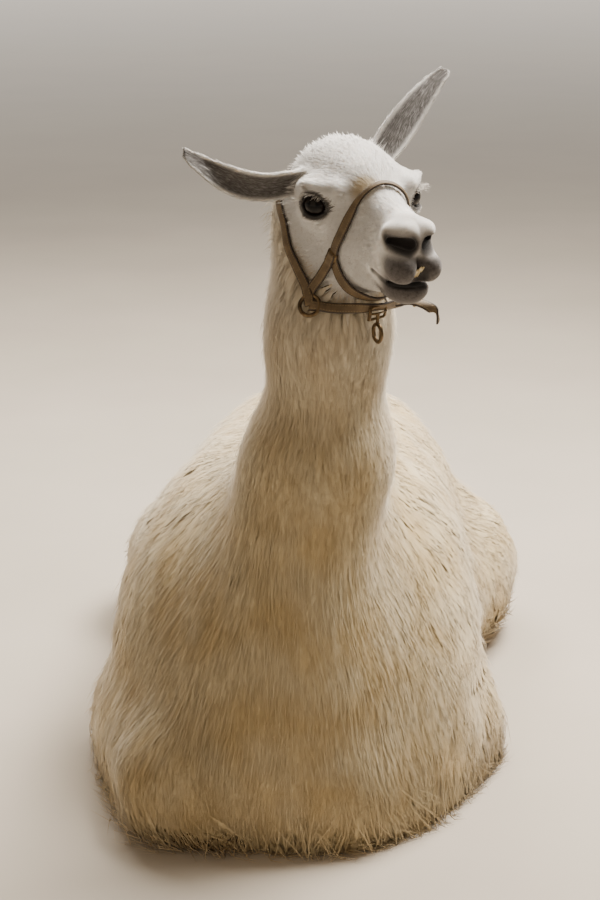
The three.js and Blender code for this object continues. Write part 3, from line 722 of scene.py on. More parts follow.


# ---------------------------------------------------------------- markings and painted shade, as numbers the materials read
def markings(p):
    """Face, soil, grey, stain and bare skin, 0 to 1, at points in the animal's frame. Grey holds painted
    shade round the nostrils and under the chin; bare skin is painted near-black, as painted shade, in the
    nostrils, the mouth line, the parted lip and the eye sockets.
    """
    p = np.asarray(p, np.float32)
    w = to_head(p)
    q = both_sides(w, 1)
    head = headness(p)
    face = np.maximum(head, 0.35 * smooth(p[:, 2], 0.55, 0.95))
    low_down = 0.36 * smooth(-p[:, 2], -0.22, -0.01)
    soil = low_down + 0.60 * smooth(p[:, 1], -0.10, 0.25) * smooth(-p[:, 2], -0.65, -0.20)
    lips_and_chin_shade = smooth(w[:, 0] - 0.35 * (w[:, 2] + 0.06), 0.106, 0.146) * smooth(-w[:, 2], 0.030, 0.054)
    # painted shade: the dark grey is carried under the chin, where shade falls, beyond the dark skin of
    # the lower lip
    lips_and_chin_shade = np.maximum(lips_and_chin_shade, smooth(w[:, 0], 0.070, 0.110) * smooth(-w[:, 2], 0.088, 0.100))
    nose = 0.34 * smooth(w[:, 0], 0.116, 0.146) * smooth(w[:, 2], -0.050, -0.025)
    # the dark grey round the nostrils is grey skin and painted shade under the nostril wings
    nose = np.maximum(nose, 0.85 * smooth(-nostril_field(q), -0.016, -0.003))
    muzzle = np.maximum(lips_and_chin_shade, nose)
    ears = smooth(-ears_field(w), -0.006, 0.002)
    cup = np.zeros(len(p))
    for ear in EARS:
        t, u, v = ear_place(w, ear)
        inner = np.clip(t, 0, 1)
        half = np.interp(inner, *EAR_HALF)
        inside = smooth(v - np.interp(inner, *EAR_CUP) * (u / half) ** 2, -0.004, 0.001)
        mid = smooth(-np.abs(u) / half, -0.92, -0.6)
        cup = np.maximum(cup, inside * mid * smooth(t, 0.0, 0.12) * ears)
    eye_rim = smooth(-np.linalg.norm(q - EYE["at"], axis=1), -0.034, -0.024) * 0.30
    grey = np.clip(0.95 * muzzle + cup + eye_rim, 0, 1) * head
    stain = 0.75 * smooth(-blob(w, (0.040, -0.022, 0.028), (0.020, 0.022, 0.022)), -0.006, 0.010)
    # painted shade: the nostrils, the line between the lips and the parted lip are painted near-black, as
    # shade in these hollows
    bare = smooth(-nostril_field(q), -0.0060, -0.0005)
    bare = np.maximum(bare, smooth(-mouth_field(q), -0.0035, -0.0005))
    bare = np.maximum(bare, smooth(-limb(w, *GAP), -0.004, 0.0))
    from_eye = (q - EYE["at"]) @ EYE_AXES.T
    around = np.hypot((from_eye[:, 1] - 0.001) / (OPENING["across"] + 0.0065),
                      from_eye[:, 2] / (OPENING["up"] + 0.0050))
    # painted shade: the bare skin round the lids is painted near-black, as the shade of the eye socket
    painted_socket_shade = smooth(-around, -1.18, -0.94) * smooth(from_eye[:, 0], 0.004, 0.010)
    bare = np.maximum(bare, 0.92 * painted_socket_shade)
    return {"face": face, "soil": soil * (1 - face), "grey": grey, "stain": stain * head,
            "bare": bare * head}


def mark(piece, p, tuft_shade_and_tone):
    """Stores the markings at p and the tuft shade on a mesh: painted shade in the valleys between tufts,
    painted light on their crests, and a little random tone.
    """
    for name, values in markings(p).items():
        store(piece, name, values)
    store(piece, "tuft_shade_and_tone", tuft_shade_and_tone)


# ---------------------------------------------------------------- the skin
EAR_HAIR = 0.0006       # how far the skin lies inside the ears' hair
SKIN_BOTTOM = 0.004     # the skin lies flat this far above the floor
BODY_STEP = 0.009       # the body grid's spacing
OVERLAP = {"head": 0.035, "body": 0.020}   # each skin's end, below the line where wool gives way to hair


def head_skin_field(h):
    """The head, ears and the top of the neck under the coat, in the head's frame."""
    p = from_head(h)
    flesh = join(trunk_field(p), face_details(head_field(h), h), HEAD_BLEND) + coat_depth(p)
    ears = ears_field(h) + EAR_HAIR
    return np.maximum(join(flesh, ears, EAR_BLEND), -past_edge(h) - OVERLAP["head"])


def body_skin_field(p):
    """The rest of the animal under the coat, up to a little past the head's lower edge."""
    w = to_head(p)
    flesh = np.minimum(flesh_field(p) + coat_depth(p), feet_field(p) + DEPTH["face"])
    cut = np.where(np.linalg.norm(w, axis=1) < 0.35, past_edge(w) + OVERLAP["body"], -1)
    return np.maximum(np.maximum(flesh, cut), SKIN_BOTTOM - p[:, 2])


def joined_skin():
    """One closed skin: the body on a coarse grid and the head on a fine one, made one by a union."""
    head_lines = (
        grid_line((-0.215, 0.085, 0.0024), (0.085, 0.190, 0.0014)),
        grid_line((-0.262, -0.120, 0.0032), (-0.120, -0.045, 0.0020), (-0.045, 0.045, 0.0015),
                  (0.045, 0.120, 0.0020), (0.120, 0.200, 0.0032)),
        grid_line((-0.200, -0.105, 0.0024), (-0.105, 0.035, 0.0015), (0.035, 0.180, 0.0026)),
    )
    head_points, head_faces = surface(head_skin_field, head_lines)
    head = mesh_object("head_skin", from_head(head_points), head_faces, hide)
    low, high = cad_box
    body_lines = (
        grid_line((low[0] - 0.02, high[0] + 0.02, BODY_STEP)),
        grid_line((low[1] - 0.02, high[1] + 0.02, BODY_STEP)),
        grid_line((-0.012, 1.06, BODY_STEP)),
    )
    body_points, body_faces = surface(body_skin_field, body_lines)
    body = mesh_object("skin", body_points, body_faces, hide)
    union = body.modifiers.new("union", "BOOLEAN")
    union.operation = "UNION"
    union.solver = "MANIFOLD"
    union.object = head
    depsgraph = bpy.context.evaluated_depsgraph_get()
    whole = bpy.data.meshes.new_from_object(body.evaluated_get(depsgraph))
    body.modifiers.clear()
    body.data = whole
    bpy.data.objects.remove(head)
    whole.polygons.foreach_set("use_smooth", np.full(len(whole.polygons), True))
    return body


def points_of(piece):
    """A mesh's vertices, one to a row."""
    flat = np.empty(len(piece.data.vertices) * 3, np.float32)
    piece.data.vertices.foreach_get("co", flat)
    return flat.reshape(-1, 3)


skin = joined_skin()
skin_points = points_of(skin)
mark(skin, skin_points, np.zeros(len(skin_points)))
FLESH = ["trunk", "neck", "head", "tail", "ear_left", "ear_right"]
FLESH += [f"{kind}{part}_{side}" for kind in ("fore", "hind") for part in ("leg", "foot")
          for side in ("left", "right")]
finished(skin, "fleece", *FLESH)


# ---------------------------------------------------------------- the coat
def ripples(seed, wavelength, count=14):
    """Smooth seeded unevenness: the wave numbers and phases of a sum of even waves."""
    draw = np.random.default_rng(seed)
    ways = unit(draw.normal(size=(count, 3)))
    numbers = ways * (2 * math.pi / wavelength) * draw.uniform(0.7, 1.4, (count, 1))
    return numbers.astype(np.float32), draw.uniform(0, 2 * math.pi, count).astype(np.float32)


def rippled(p, waves):
    """The unevenness at each point, mostly between -1 and 1."""
    numbers, phases = waves
    return np.sin(p @ numbers.T + phases).sum(1) / math.sqrt(len(phases) / 2)


def uphill(p, waves):
    """The way to the nearest crest, with a length of about 1 between crests."""
    numbers, phases = waves
    pull = np.cos(p @ numbers.T + phases) @ numbers
    return pull / (np.linalg.norm(numbers, axis=1).mean() * math.sqrt(len(phases) / 2))


CLUMPS = ripples(3, 0.075)
SMALL_CLUMPS = ripples(11, 0.028)
WANDER = ripples(8, 0.160)


def combing(p, normal):
    """The way the hair points: back from the nose, down the neck, off the spine and down the flanks."""
    w = to_head(p)
    q = both_sides(w, 1)
    side = np.sign(w[:, 1])
    face = np.stack([
        -np.ones(len(p)),
        side * (0.10 + 0.35 * smooth(w[:, 0], -0.10, -0.02) * smooth(q[:, 1], 0.02, 0.06)),
        -0.15 - 0.55 * smooth(-w[:, 2], -0.01, 0.06) + 0.3 * smooth(w[:, 2], 0.02, 0.06),
    ], 1) @ HEAD_AXES
    neckness = smooth(p[:, 2], 0.46, 0.62) * smooth(-p[:, 1], -0.10, 0.02)
    back = 0.55 * smooth(p[:, 1], -0.22, 0.15) * (1 - neckness) + 0.08
    off_spine = 0.7 * np.tanh(p[:, 0] / 0.05) * smooth(normal[:, 2], 0.5, 0.9)
    wool = np.stack([off_spine, back, -np.ones(len(p))], 1)
    rump = smooth(p[:, 1], 0.60, 0.80)[:, None]
    wool = wool * (1 - rump) + np.array([0, 0.35, -1.0]) * rump
    outward = np.stack([normal[:, 0], normal[:, 1], np.zeros(len(p))], 1)
    wool += outward * 2.2 * smooth(-p[:, 2], -0.075, -0.012)[:, None]
    head = headness(p)[:, None]
    way = unit(wool) * (1 - head) + unit(face) * head
    for ear in EARS:
        t = ear_place(w, ear)[0]
        on_ear = (smooth(-ear_field(w, ear), -0.008, 0.0) * smooth(t, 0.0, 0.15))[:, None]
        way = way * (1 - on_ear) + unit(np.asarray(ear["way"]) @ HEAD_AXES) * on_ear
    way = way - normal * (way * normal).sum(1, keepdims=True)
    return unit(way)


def turned(way, normal, angle):
    """Vectors in the surface, turned in it by an angle each."""
    across = np.cross(normal, way)
    return way * np.cos(angle)[:, None] + across * np.sin(angle)[:, None]


def scattered(piece, weight, count):
    """Seeded places on a mesh, more of them where weight is higher."""
    mesh = piece.data
    mesh.calc_loop_triangles()
    corners = np.empty(len(mesh.loop_triangles) * 3, np.int32)
    mesh.loop_triangles.foreach_get("vertices", corners)
    a, b, c = (points_of(piece)[corners.reshape(-1, 3)[:, i]] for i in range(3))
    area = np.linalg.norm(np.cross(b - a, c - a), axis=1) / 2
    share = area * weight((a + b + c) / 3)
    share = np.cumsum(share / share.sum())
    # even steps through the running total keep the spacing regular
    picks = np.searchsorted(share, (np.arange(count) + rng.random(count)) / count)
    picks = np.minimum(picks, len(a) - 1)
    u, v = rng.random((2, count, 1))
    flip = (u + v > 1)
    u, v = np.where(flip, 1 - u, u), np.where(flip, 1 - v, v)
    return (a[picks] + (b[picks] - a[picks]) * u + (c[picks] - a[picks]) * v).astype(np.float32)


LOCK_LIFT, FLOOR_GAP = 0.0022, 0.0006   # a lock's middle line and its edges keep this far above the floor


def grown_locks(roots, length, tops, stations, clump, crimp, wander, fly, level=outline, dip=0.0):
    """The line of each lock from its root: it rises through the coat to the level it ends at, and lies
    along the body on the way. tops is how much of the coat's depth it climbs (1 reaches the outline),
    and dip is the share of that it loses again at its tip; clump, crimp and fly are metres at the tip,
    wander is radians."""
    count = len(roots)
    point = roots.copy()
    normal = slope(level, point)
    depth = coat_depth(point)
    angle = wander * (0.6 * rippled(roots, WANDER) + 0.5 * rng.normal(size=count))
    pull = uphill(roots, CLUMPS) * clump[:, None] + uphill(roots, SMALL_CLUMPS) * clump[:, None] * 0.45
    phase = rng.uniform(0, 2 * math.pi, count)
    line, ways, normals = [point], [turned(combing(point, normal), normal, angle)], [normal]
    for step in range(1, stations):
        s, before = step / (stations - 1), (step - 1) / (stations - 1)
        way = ways[-1]
        point = point + way * (length / (stations - 1))[:, None]
        point = point + pull * (s ** 1.6 - before ** 1.6)
        normal = slope(level, point)
        rise = depth * (1 - 0.9 * (1 - s) ** 2.6) * tops * (1 - dip * float(smooth(s, 0.6, 1.0))) - depth
        target = rise + fly * s ** 2
        point = point - normal * np.clip(level(point) - target, -0.02, 0.02)[:, None]
        point[:, 2] += np.maximum(LOCK_LIFT - point[:, 2], 0)
        point = point.astype(np.float32)
        line.append(point)
        ways.append(turned(combing(point, normal), normal, angle))
        normals.append(normal)
    line = np.stack(line, 1)
    ways = np.stack(ways, 1)
    normals = np.stack(normals, 1)
    across = np.cross(normals, ways)
    s = np.linspace(0, 1, stations)
    swing = np.sin(s[None] * math.pi * 2.2 + phase[:, None]) * (s[None] ** 0.7) * crimp[:, None]
    return line + across * swing[..., None], normals


AS_GROUND = 0.98


def lock_mesh(line, normals, width):
    """Closed three-sided locks, widest a third of the way along and drawn out to one point; the wider a
    lock, the flatter it is. AS_GROUND is how far they are lit as the surface they lie on."""
    count, stations = line.shape[:2]
    along = np.gradient(line, axis=1)
    across = unit(np.cross(normals, along))
    s = np.linspace(0, 1, stations)[:-1]
    full = np.interp(s, (0, 0.3, 0.6, 0.85, 1), (0.6, 1, 0.85, 0.5, 0.25))
    half = (width[:, None] * full[None] / 2)[..., None]
    ridge = np.clip(0.0009 / width, 0.12, 0.42)[:, None, None]
    rings = [line[:, :-1] + across[:, :-1] * half, line[:, :-1] - across[:, :-1] * half,
             line[:, :-1] + normals[:, :-1] * half * 2 * ridge]
    body = np.stack(rings, 2).reshape(count, -1, 3)
    vertices = np.concatenate([body, line[:, -1:]], 1)
    per_lock = vertices.shape[1]
    quads = [[r * 3 + 3 + i, r * 3 + 3 + (i + 1) % 3, r * 3 + (i + 1) % 3, r * 3 + i]
             for r in range(stations - 2) for i in range(3)]
    last = (stations - 2) * 3
    tips = [[last + (i + 1) % 3, last + i, per_lock - 1] for i in range(3)] + [[0, 1, 2]]
    start = (np.arange(count) * per_lock)[:, None, None]
    faces = [(np.array(quads)[None] + start).reshape(-1, 4),
             (np.array(tips)[None] + start).reshape(-1, 3)]
    ring_side = np.tile([0.0, 1.0, 0.5], stations - 1)
    side = np.append(ring_side, 0.5)
    share = np.append(np.repeat(s, 3), 1.0)
    lean = (across[:, :-1, None] * np.array([1, -1, 0])[None, None, :, None]
            + normals[:, :-1, None] * np.array([0.2, 0.2, 1])[None, None, :, None]).reshape(count, -1, 3)
    lean = np.concatenate([lean, normals[:, -1:]], 1)
    beneath = np.concatenate([np.repeat(normals[:, :-1], 3, 1), normals[:, -1:]], 1)
    facing = unit(lean * (1 - AS_GROUND) + beneath * AS_GROUND)
    return vertices, faces, side, share, facing


PATCH = 0.003   # each lock's own patch on the bake map


def tuftiness(p):
    """How far the fleece gathers in tufts: fully on flanks and back, hardly on chest and neck."""
    chest = smooth(-p[:, 1], 0.04, 0.20) * smooth(-np.abs(p[:, 0]), -0.30, -0.20)
    return 1 - 0.85 * np.maximum(chest, smooth(p[:, 2], 0.50, 0.56))


def coat_piece(name, line, normals, width, place_on_map, material):
    """One joined mesh of locks, marked at their roots, with each lock's patch on the bake map."""
    vertices, faces, side, share, facing = lock_mesh(line, normals, width)
    vertices[..., 2] = np.maximum(vertices[..., 2], FLOOR_GAP)
    count, per_lock = vertices.shape[:2]
    piece = mesh_object(name, vertices.reshape(-1, 3), faces, material)
    roots = np.repeat(line[:, 0] * 0.35 + line[:, -1] * 0.65, per_lock, axis=0)
    start = line[:, 0]
    # painted shade and light: the clumps' valleys, where the locks lie lower, are painted darker and
    # their crests lighter; a little random tone per lock on top
    tuft_shade_and_tone = (0.50 * rippled(start, CLUMPS) + 0.25 * rippled(start, SMALL_CLUMPS)) * tuftiness(start)
    tuft_shade_and_tone = tuft_shade_and_tone + 0.05 * rng.normal(size=count)
    mark(piece, roots, np.repeat(np.clip(tuft_shade_and_tone, -1, 1), per_lock))
    mesh = piece.data
    mesh.normals_split_custom_set_from_vertices(facing.reshape(-1, 3))
    # each lock's own stretch of the fibre pattern, in metres across and along it
    shift = rng.uniform(0, 9, (2, count, 1))
    reach = np.linalg.norm(line[:, -1] - start, axis=1)
    store(piece, "across", (shift[0] + (side[None] - 0.5) * width[:, None]).reshape(-1))
    store(piece, "along", (shift[1] + share[None] * reach[:, None]).reshape(-1))
    base = place_on_map * (1 - PATCH)
    spots = base[:, None] + np.stack([side, share], 1)[None] * PATCH
    corner = np.empty(len(mesh.loops), np.int32)
    mesh.loops.foreach_get("vertex_index", corner)
    bake = mesh.uv_layers.new(name="OFBake")
    bake.data.foreach_set("uv", spots.reshape(-1, 2)[corner].astype(np.float32).reshape(-1))
    return finished(piece, "fleece")


def round_body(p):
    """An unwrap of the body: round it from the belly, and along it from chest to rump."""
    return np.stack([0.5 + np.arctan2(p[:, 0], p[:, 2] - 0.15) / (2 * math.pi), p[:, 1]], 1)


def round_neck(p):
    """An unwrap of the neck: round it from the nape, and up it."""
    return np.stack([0.5 + np.arctan2(p[:, 0] - 0.06, -(p[:, 1] + 0.15)) / (2 * math.pi), p[:, 2]], 1)


def round_head(p):
    """An unwrap of the head: round it from under the jaw, and along it to the nose."""
    w = to_head(p)
    return np.stack([0.5 + np.arctan2(w[:, 1], w[:, 2] + 0.035) / (2 * math.pi), w[:, 0]], 1)


def over_ears(p):
    """An unwrap of the ears: each from base to tip, front and back, side by side."""
    w = to_head(p)
    spots = []
    for number, ear in enumerate(EARS):
        t, u, v = ear_place(w, ear)
        front = (v > np.interp(np.clip(t, 0, 1), *EAR_CUP) * (u / 0.024) ** 2)
        spots.append(np.stack([(number * 2 + front + 0.5 + np.clip(u / 0.05, -0.48, 0.48)) / 4, t], 1))
    nearer = ear_field(w, EARS[0]) < ear_field(w, EARS[1])
    return np.where(nearer[:, None], *spots)


def coat(name, roots, unwrap, pieces, width, material, **growth):
    """Grows locks from roots and shares them out along the unwrap, so that no piece is too big."""
    spots = unwrap(roots)
    order = np.argsort(spots[:, 1])
    line, normals = grown_locks(roots, **growth)
    for number, part in enumerate(np.array_split(order, pieces)):
        place = spots[part].copy()
        low, high = place.min(0), place.max(0)
        place = (place - low) / np.maximum(high - low, 1e-6)
        piece_name = f"{name}_{number + 1}" if pieces > 1 else name
        coat_piece(piece_name, line[part], normals[part], width[part], place, material)


def wool_weight(p):
    """Even over the fleece, none on the face and feet or where the body presses the floor."""
    on_floor = smooth(p[:, 2], 0.006, 0.03)
    return (1 - headness(p)) * (1 - footness(p)) * (0.04 + 0.96 * on_floor)


def neck_share(p):
    """1 on the neck, where the finer wool takes over, and 0 on the body."""
    return smooth(p[:, 2], 0.50, 0.56) * smooth(-p[:, 1], -0.06, 0.02)


def spread_evenly(low, high, count):
    """Seeded random values, one for each lock."""
    return rng.uniform(low, high, count)


def grow_fleece():
    """Long soft wool: fine and straight down the chest, in loose tufts over the flanks and back."""
    def weight(p):
        chest = (1 - tuftiness(p)) * smooth(-p[:, 1], -0.3, 0.0)
        return wool_weight(p) * (1 - neck_share(p)) * (1 + 1.1 * chest)
    roots = scattered(skin, weight, 56000)
    n = len(roots)
    tufts = tuftiness(roots)
    under = rng.random(n) < 0.36 + 0.12 * tufts
    crest = smooth(rippled(roots, CLUMPS) + 0.4 * rippled(roots, SMALL_CLUMPS), -1.0, 0.9)
    tufted = 1 - 0.5 * tufts * (1 - crest)
    broad = spread_evenly(0.0090, 0.0130, n) * (0.95 + 0.45 * tufts)
    width = np.where(under, broad, spread_evenly(0.0011, 0.0021, n))
    coat(
        "fleece_body", roots, round_body, 5, width, fleece,
        length=spread_evenly(0.060, 0.100, n) * (1.15 - 0.15 * tufts),
        tops=np.where(under, spread_evenly(0.76, 0.81, n), spread_evenly(0.85, 0.98, n)) * tufted,
        dip=0.45 * under,
        stations=4,
        clump=(0.003 + 0.015 * tufts) * np.where(under, 0.1, 1.0),
        crimp=np.where(under, 0.001, spread_evenly(0.0, 0.006, n)) * (0.3 + 0.7 * tufts),
        wander=0.07 + 0.19 * tufts * np.where(under, 0.25, 1.0),
        fly=spread_evenly(-0.2, 1.0, n) ** 5 * 0.012 * (~under),
    )


def grow_neck_wool():
    """Finer, straighter wool on the neck."""
    roots = scattered(skin, lambda p: wool_weight(p) * neck_share(p), 17000)
    n = len(roots)
    under = rng.random(n) < 0.30
    width = np.where(under, spread_evenly(0.0080, 0.0110, n), spread_evenly(0.0008, 0.0015, n))
    coat(
        "fleece_neck", roots, round_neck, 2, width, fleece,
        length=spread_evenly(0.040, 0.075, n),
        tops=np.where(under, spread_evenly(0.76, 0.81, n), spread_evenly(0.85, 0.98, n)),
        dip=0.45 * under,
        stations=4,
        clump=np.full(n, 0.0030),
        crimp=spread_evenly(0.0, 0.0016, n),
        wander=np.full(n, 0.09),
        fly=spread_evenly(-0.2, 1.0, n) ** 5 * 0.008 * (~under) * (1 - pressed(roots)),
    )


def grow_hem():
    """Long wisps round the bottom of the fleece, which splay over the floor."""
    def weight(p):
        low = smooth(p[:, 2], 0.020, 0.045) * smooth(-p[:, 2], -0.130, -0.060)
        long_side = 0.4 + 0.6 * smooth(p[:, 0], -0.12, 0.12)
        return low * (1 - footness(p)) * (0.40 + 0.60 * smooth(-p[:, 1], -0.25, 0.05)) * long_side
    roots = scattered(skin, weight, 4400)
    n = len(roots)
    under = rng.random(n) < 0.30
    at_the_edge = np.maximum(smooth(np.abs(roots[:, 0]), 0.22, 0.32), smooth(roots[:, 1], 0.66, 0.80))
    width = np.where(under, 0.0110, spread_evenly(0.0011, 0.0030, n))
    coat(
        "fleece_hem", roots, round_body, 1, width, fleece,
        length=spread_evenly(0.090, 0.175, n),
        tops=np.where(under, 0.85, spread_evenly(0.9, 1.1, n)),
        stations=5,
        clump=np.where(under, 0.008, 0.024),
        crimp=spread_evenly(0.001, 0.008, n),
        wander=np.full(n, 0.40),
        fly=spread_evenly(0.1, 1.0, n) ** 1.5 * (0.050 - 0.026 * at_the_edge) * np.where(under, 0.2, 1.0),
    )


def grow_face_hair():
    """Short flat hair up to the nose, longer and looser on the poll."""
    def weight(p):
        w = to_head(p)
        q = both_sides(w, 1)
        clear_of_eye = smooth(np.linalg.norm(q - EYE["at"], axis=1), 0.0225, 0.0245)
        clear_of_mouth = 1 - np.maximum(markings(p)["bare"], smooth(-ears_field(w), -0.001, 0.0005))
        clear_of_mouth = clear_of_mouth * smooth(mouth_field(q), 0.005, 0.009)
        fine = 1 - smooth(w[:, 0], 0.09, 0.13)
        return headness(p) * clear_of_eye * clear_of_mouth * fine
    roots = scattered(skin, weight, 15000)
    n = len(roots)
    muzzle = smooth(to_head(roots)[:, 0], 0.02, 0.14)
    poll = smooth(-to_head(roots)[:, 0], 0.02, 0.09)
    loose = 1 - pressed(roots)
    coat(
        "face_hair", roots, round_head, 1, spread_evenly(0.0008, 0.0015, n) * (1 + 0.6 * poll), fleece,
        length=spread_evenly(0.007, 0.012, n) * (1 - 0.55 * muzzle + 0.8 * poll),
        tops=spread_evenly(0.5, 1.2, n) + 3.0 * poll * spread_evenly(0, 1, n) * loose,
        stations=3,
        clump=0.0012 * (1 - muzzle),
        crimp=np.zeros(n),
        wander=0.12 + 0.1 * poll,
        fly=spread_evenly(0, 1, n) ** 3 * (0.0008 + 0.008 * poll) * loose,
        level=detailed_outline,
    )


def grow_ear_hair():
    """Short hair on the ears, thickest along their rims."""
    def weight(p):
        w = to_head(p)
        rim = np.zeros(len(p))
        for ear in EARS:
            t, u = ear_place(w, ear)[:2]
            rim = np.maximum(rim, smooth(np.abs(u) / np.interp(np.clip(t, 0, 1), *EAR_HALF), 0.75, 1.0))
        return smooth(-ears_field(w), -0.003, 0.0005) * (0.35 + rim)
    roots = scattered(skin, weight, 5200)
    n = len(roots)
    coat(
        "ear_hair", roots, over_ears, 1, spread_evenly(0.0007, 0.0013, n), fleece,
        length=spread_evenly(0.006, 0.012, n),
        tops=spread_evenly(0.5, 1.4, n),
        stations=3,
        clump=np.full(n, 0.001),
        crimp=np.zeros(n),
        wander=np.full(n, 0.22),
        fly=spread_evenly(0, 1, n) ** 3 * 0.002,
    )


def grow_foot_hair():
    """Short rough hair on the feet and pasterns."""
    def weight(p):
        return footness(p) * smooth(p[:, 2], 0.005, 0.012)
    roots = scattered(skin, weight, 2600)
    n = len(roots)
    coat(
        "foot_hair", roots, round_body, 1, spread_evenly(0.0011, 0.0021, n), fleece,
        length=spread_evenly(0.009, 0.018, n),
        tops=spread_evenly(0.6, 2.2, n),
        stations=3,
        clump=np.full(n, 0.001),
        crimp=np.zeros(n),
        wander=np.full(n, 0.25),
        fly=spread_evenly(0, 1, n) ** 2 * 0.003,
    )


# ---------------------------------------------------------------- eyes, lids and lashes
def skinned(index):
    """Faces from each ring of vertex numbers to the next."""
    here, there = index[:-1], index[1:]
    return np.stack([here, np.roll(here, -1, 1), np.roll(there, -1, 1), there], -1).reshape(-1, 4)


def lathed(rings, sides):
    """Faces that skin a row of rings with the same number of sides."""
    return skinned(np.arange(rings * sides).reshape(rings, sides))


def tube(line, radii, sides=8, loop=False):
    """A closed round tube along a line, or a ring of it."""
    line = np.asarray(line, float)
    radii = np.broadcast_to(np.asarray(radii, float), (len(line),))
    along = unit(np.roll(line, -1, 0) - np.roll(line, 1, 0)) if loop else unit(np.gradient(line, axis=0))
    turn = np.linspace(0, 2 * math.pi, sides, endpoint=False)
    helper = unit(np.cross(along[0], [0.31, 0.52, 0.79]))
    rings = []
    for point, way, radius in zip(line, along, radii):
        helper = unit(helper - way * (helper @ way))
        other = np.cross(way, helper)
        rings.append(point + radius * (np.cos(turn)[:, None] * helper + np.sin(turn)[:, None] * other))
    vertices = np.concatenate(rings)
    if loop:
        # the last ring meets the first where their sides lie nearest
        shift = int(np.argmin(np.linalg.norm(rings[0] - rings[-1][0], axis=1)))
        index = np.arange(len(vertices)).reshape(-1, sides)
        return vertices, [skinned(np.concatenate([index, [np.roll(index[0], -shift)]]))]
    ends = np.arange(sides)
    caps = np.stack([ends[::-1], len(vertices) - sides + ends])
    return vertices, [lathed(len(line), sides), caps]


def merged(parts):
    """Several (vertices, face groups) as one."""
    points, groups, used = [], {}, 0
    for vertices, faces in parts:
        points.append(vertices)
        for group in faces:
            groups.setdefault(group.shape[1], []).append(group + used)
        used += len(vertices)
    return np.concatenate(points), [np.concatenate(group) for group in groups.values()]


def eye_side(side):
    """The eye's middle and axes on one side of the head: gaze, towards its outer corner, and up."""
    flip = np.array([1, side, 1])
    return EYE["at"] * flip, GAZE * flip, EYE_ACROSS * flip, EYE_UP * flip


def build_eye(name, side):
    """The eyeball: a sphere with the clear front standing a little out of it."""
    centre, gaze, outward, up = eye_side(side)
    rings, sides = 28, 40
    polar = np.linspace(0.02, math.pi - 0.02, rings)
    turn = np.linspace(0, 2 * math.pi, sides, endpoint=False)
    bulge = 1 + 0.045 * smooth(-polar, -0.75, -0.25)
    points, pupil = [], []
    for angle, swell in zip(polar, bulge):
        for t in turn:
            way = gaze * math.cos(angle) + (outward * math.cos(t) + up * math.sin(t)) * math.sin(angle)
            points.append(centre + way * EYE["radius"] * 0.985 * swell)
            across = math.hypot(math.cos(t), math.sin(t) * 1.5)
            pupil.append(math.sin(angle) * across if angle < 1.57 else 1.0)
    faces = lathed(rings, sides)
    caps = np.stack([np.arange(sides)[::-1], (rings - 1) * sides + np.arange(sides)])
    if side > 0:
        faces, caps = faces[:, ::-1], caps[:, ::-1]
    ball = mesh_object(f"eyeball_{name}", from_head(points), [faces, caps], wet_eye)
    store(ball, "pupil", pupil)
    finished(ball, "eye", f"eye_{name}")


def opening_edge(side, count, reach):
    """Points round the opening between the lids, on a sphere of that many eye radii."""
    centre, gaze, outward, up = eye_side(side)
    points = []
    for t in np.linspace(0, 2 * math.pi, count, endpoint=False):
        across = OPENING["across"] / EYE["radius"] * math.cos(t) * 0.98
        high = OPENING["up"] / EYE["radius"] * math.sin(t) * abs(math.sin(t)) ** 0.25 * 0.98
        way = gaze * math.sqrt(max(0.05, 1 - across ** 2 - high ** 2)) + outward * across + up * high
        points.append(centre + unit(way) * EYE["radius"] * reach)
    return np.array(points), np.linspace(0, 2 * math.pi, count, endpoint=False)


def build_lids(name, side):
    """The bare dark rims of the lids, thicker above, and the corner next to the nose."""
    edge, turn = opening_edge(side, 56, 1.05)
    above, at_corners = smooth(np.sin(turn), -0.1, 0.7), smooth(np.abs(np.cos(turn)), 0.75, 1.0)
    thick = 0.0016 + 0.0014 * above + 0.0008 * at_corners
    vertices, faces = tube(from_head(edge), thick, 8, loop=True)
    finished(mesh_object(f"lid_rims_{name}", vertices, faces, lid_skin), "pad")


def hairs(name, roots, ways, length, width, droop, material):
    """Fine single hairs that leave their roots one way and droop."""
    s = np.linspace(0, 1, 5)
    line = roots[:, None] + ways[:, None] * (s[None, :, None] * length[:, None, None])
    line = line + np.array([0, 0, -1.0]) * (droop[:, None] * s[None] ** 2)[..., None]
    normals = unit(np.cross(np.cross(ways, [0, 0, 1.0]), ways))[:, None].repeat(5, 1)
    vertices, faces = lock_mesh(line, normals, width)[:2]
    finished(mesh_object(name, vertices.reshape(-1, 3), faces, material), "fleece")


def build_lashes(name, side):
    """Long pale lashes on the upper lid, which sweep out and down past the outer corner."""
    gaze, outward = eye_side(side)[1:3]
    edge, turn = opening_edge(side, 150, 1.10)
    upper = np.flatnonzero((np.sin(turn) > 0.05) & (np.cos(turn) > -0.55))
    n = len(upper)
    outer = smooth(np.cos(turn[upper]), -0.5, 0.9)
    roots = edge[upper] + rng.normal(size=(n, 3)) * 0.0006
    ways = unit(gaze * 0.75 + outer[:, None] * outward * 0.85 + rng.normal(size=(n, 3)) * 0.12)
    length = rng.uniform(0.010, 0.016, n) + 0.008 * outer
    hairs(f"lashes_{name}", from_head(roots), ways @ HEAD_AXES, length, np.full(n, 0.0007),
          rng.uniform(0.002, 0.007, n), pale_hair)


for eye_name, eye_hand in (("left", 1), ("right", -1)):
    build_eye(eye_name, eye_hand)
    build_lids(eye_name, eye_hand)
    build_lashes(eye_name, eye_hand)


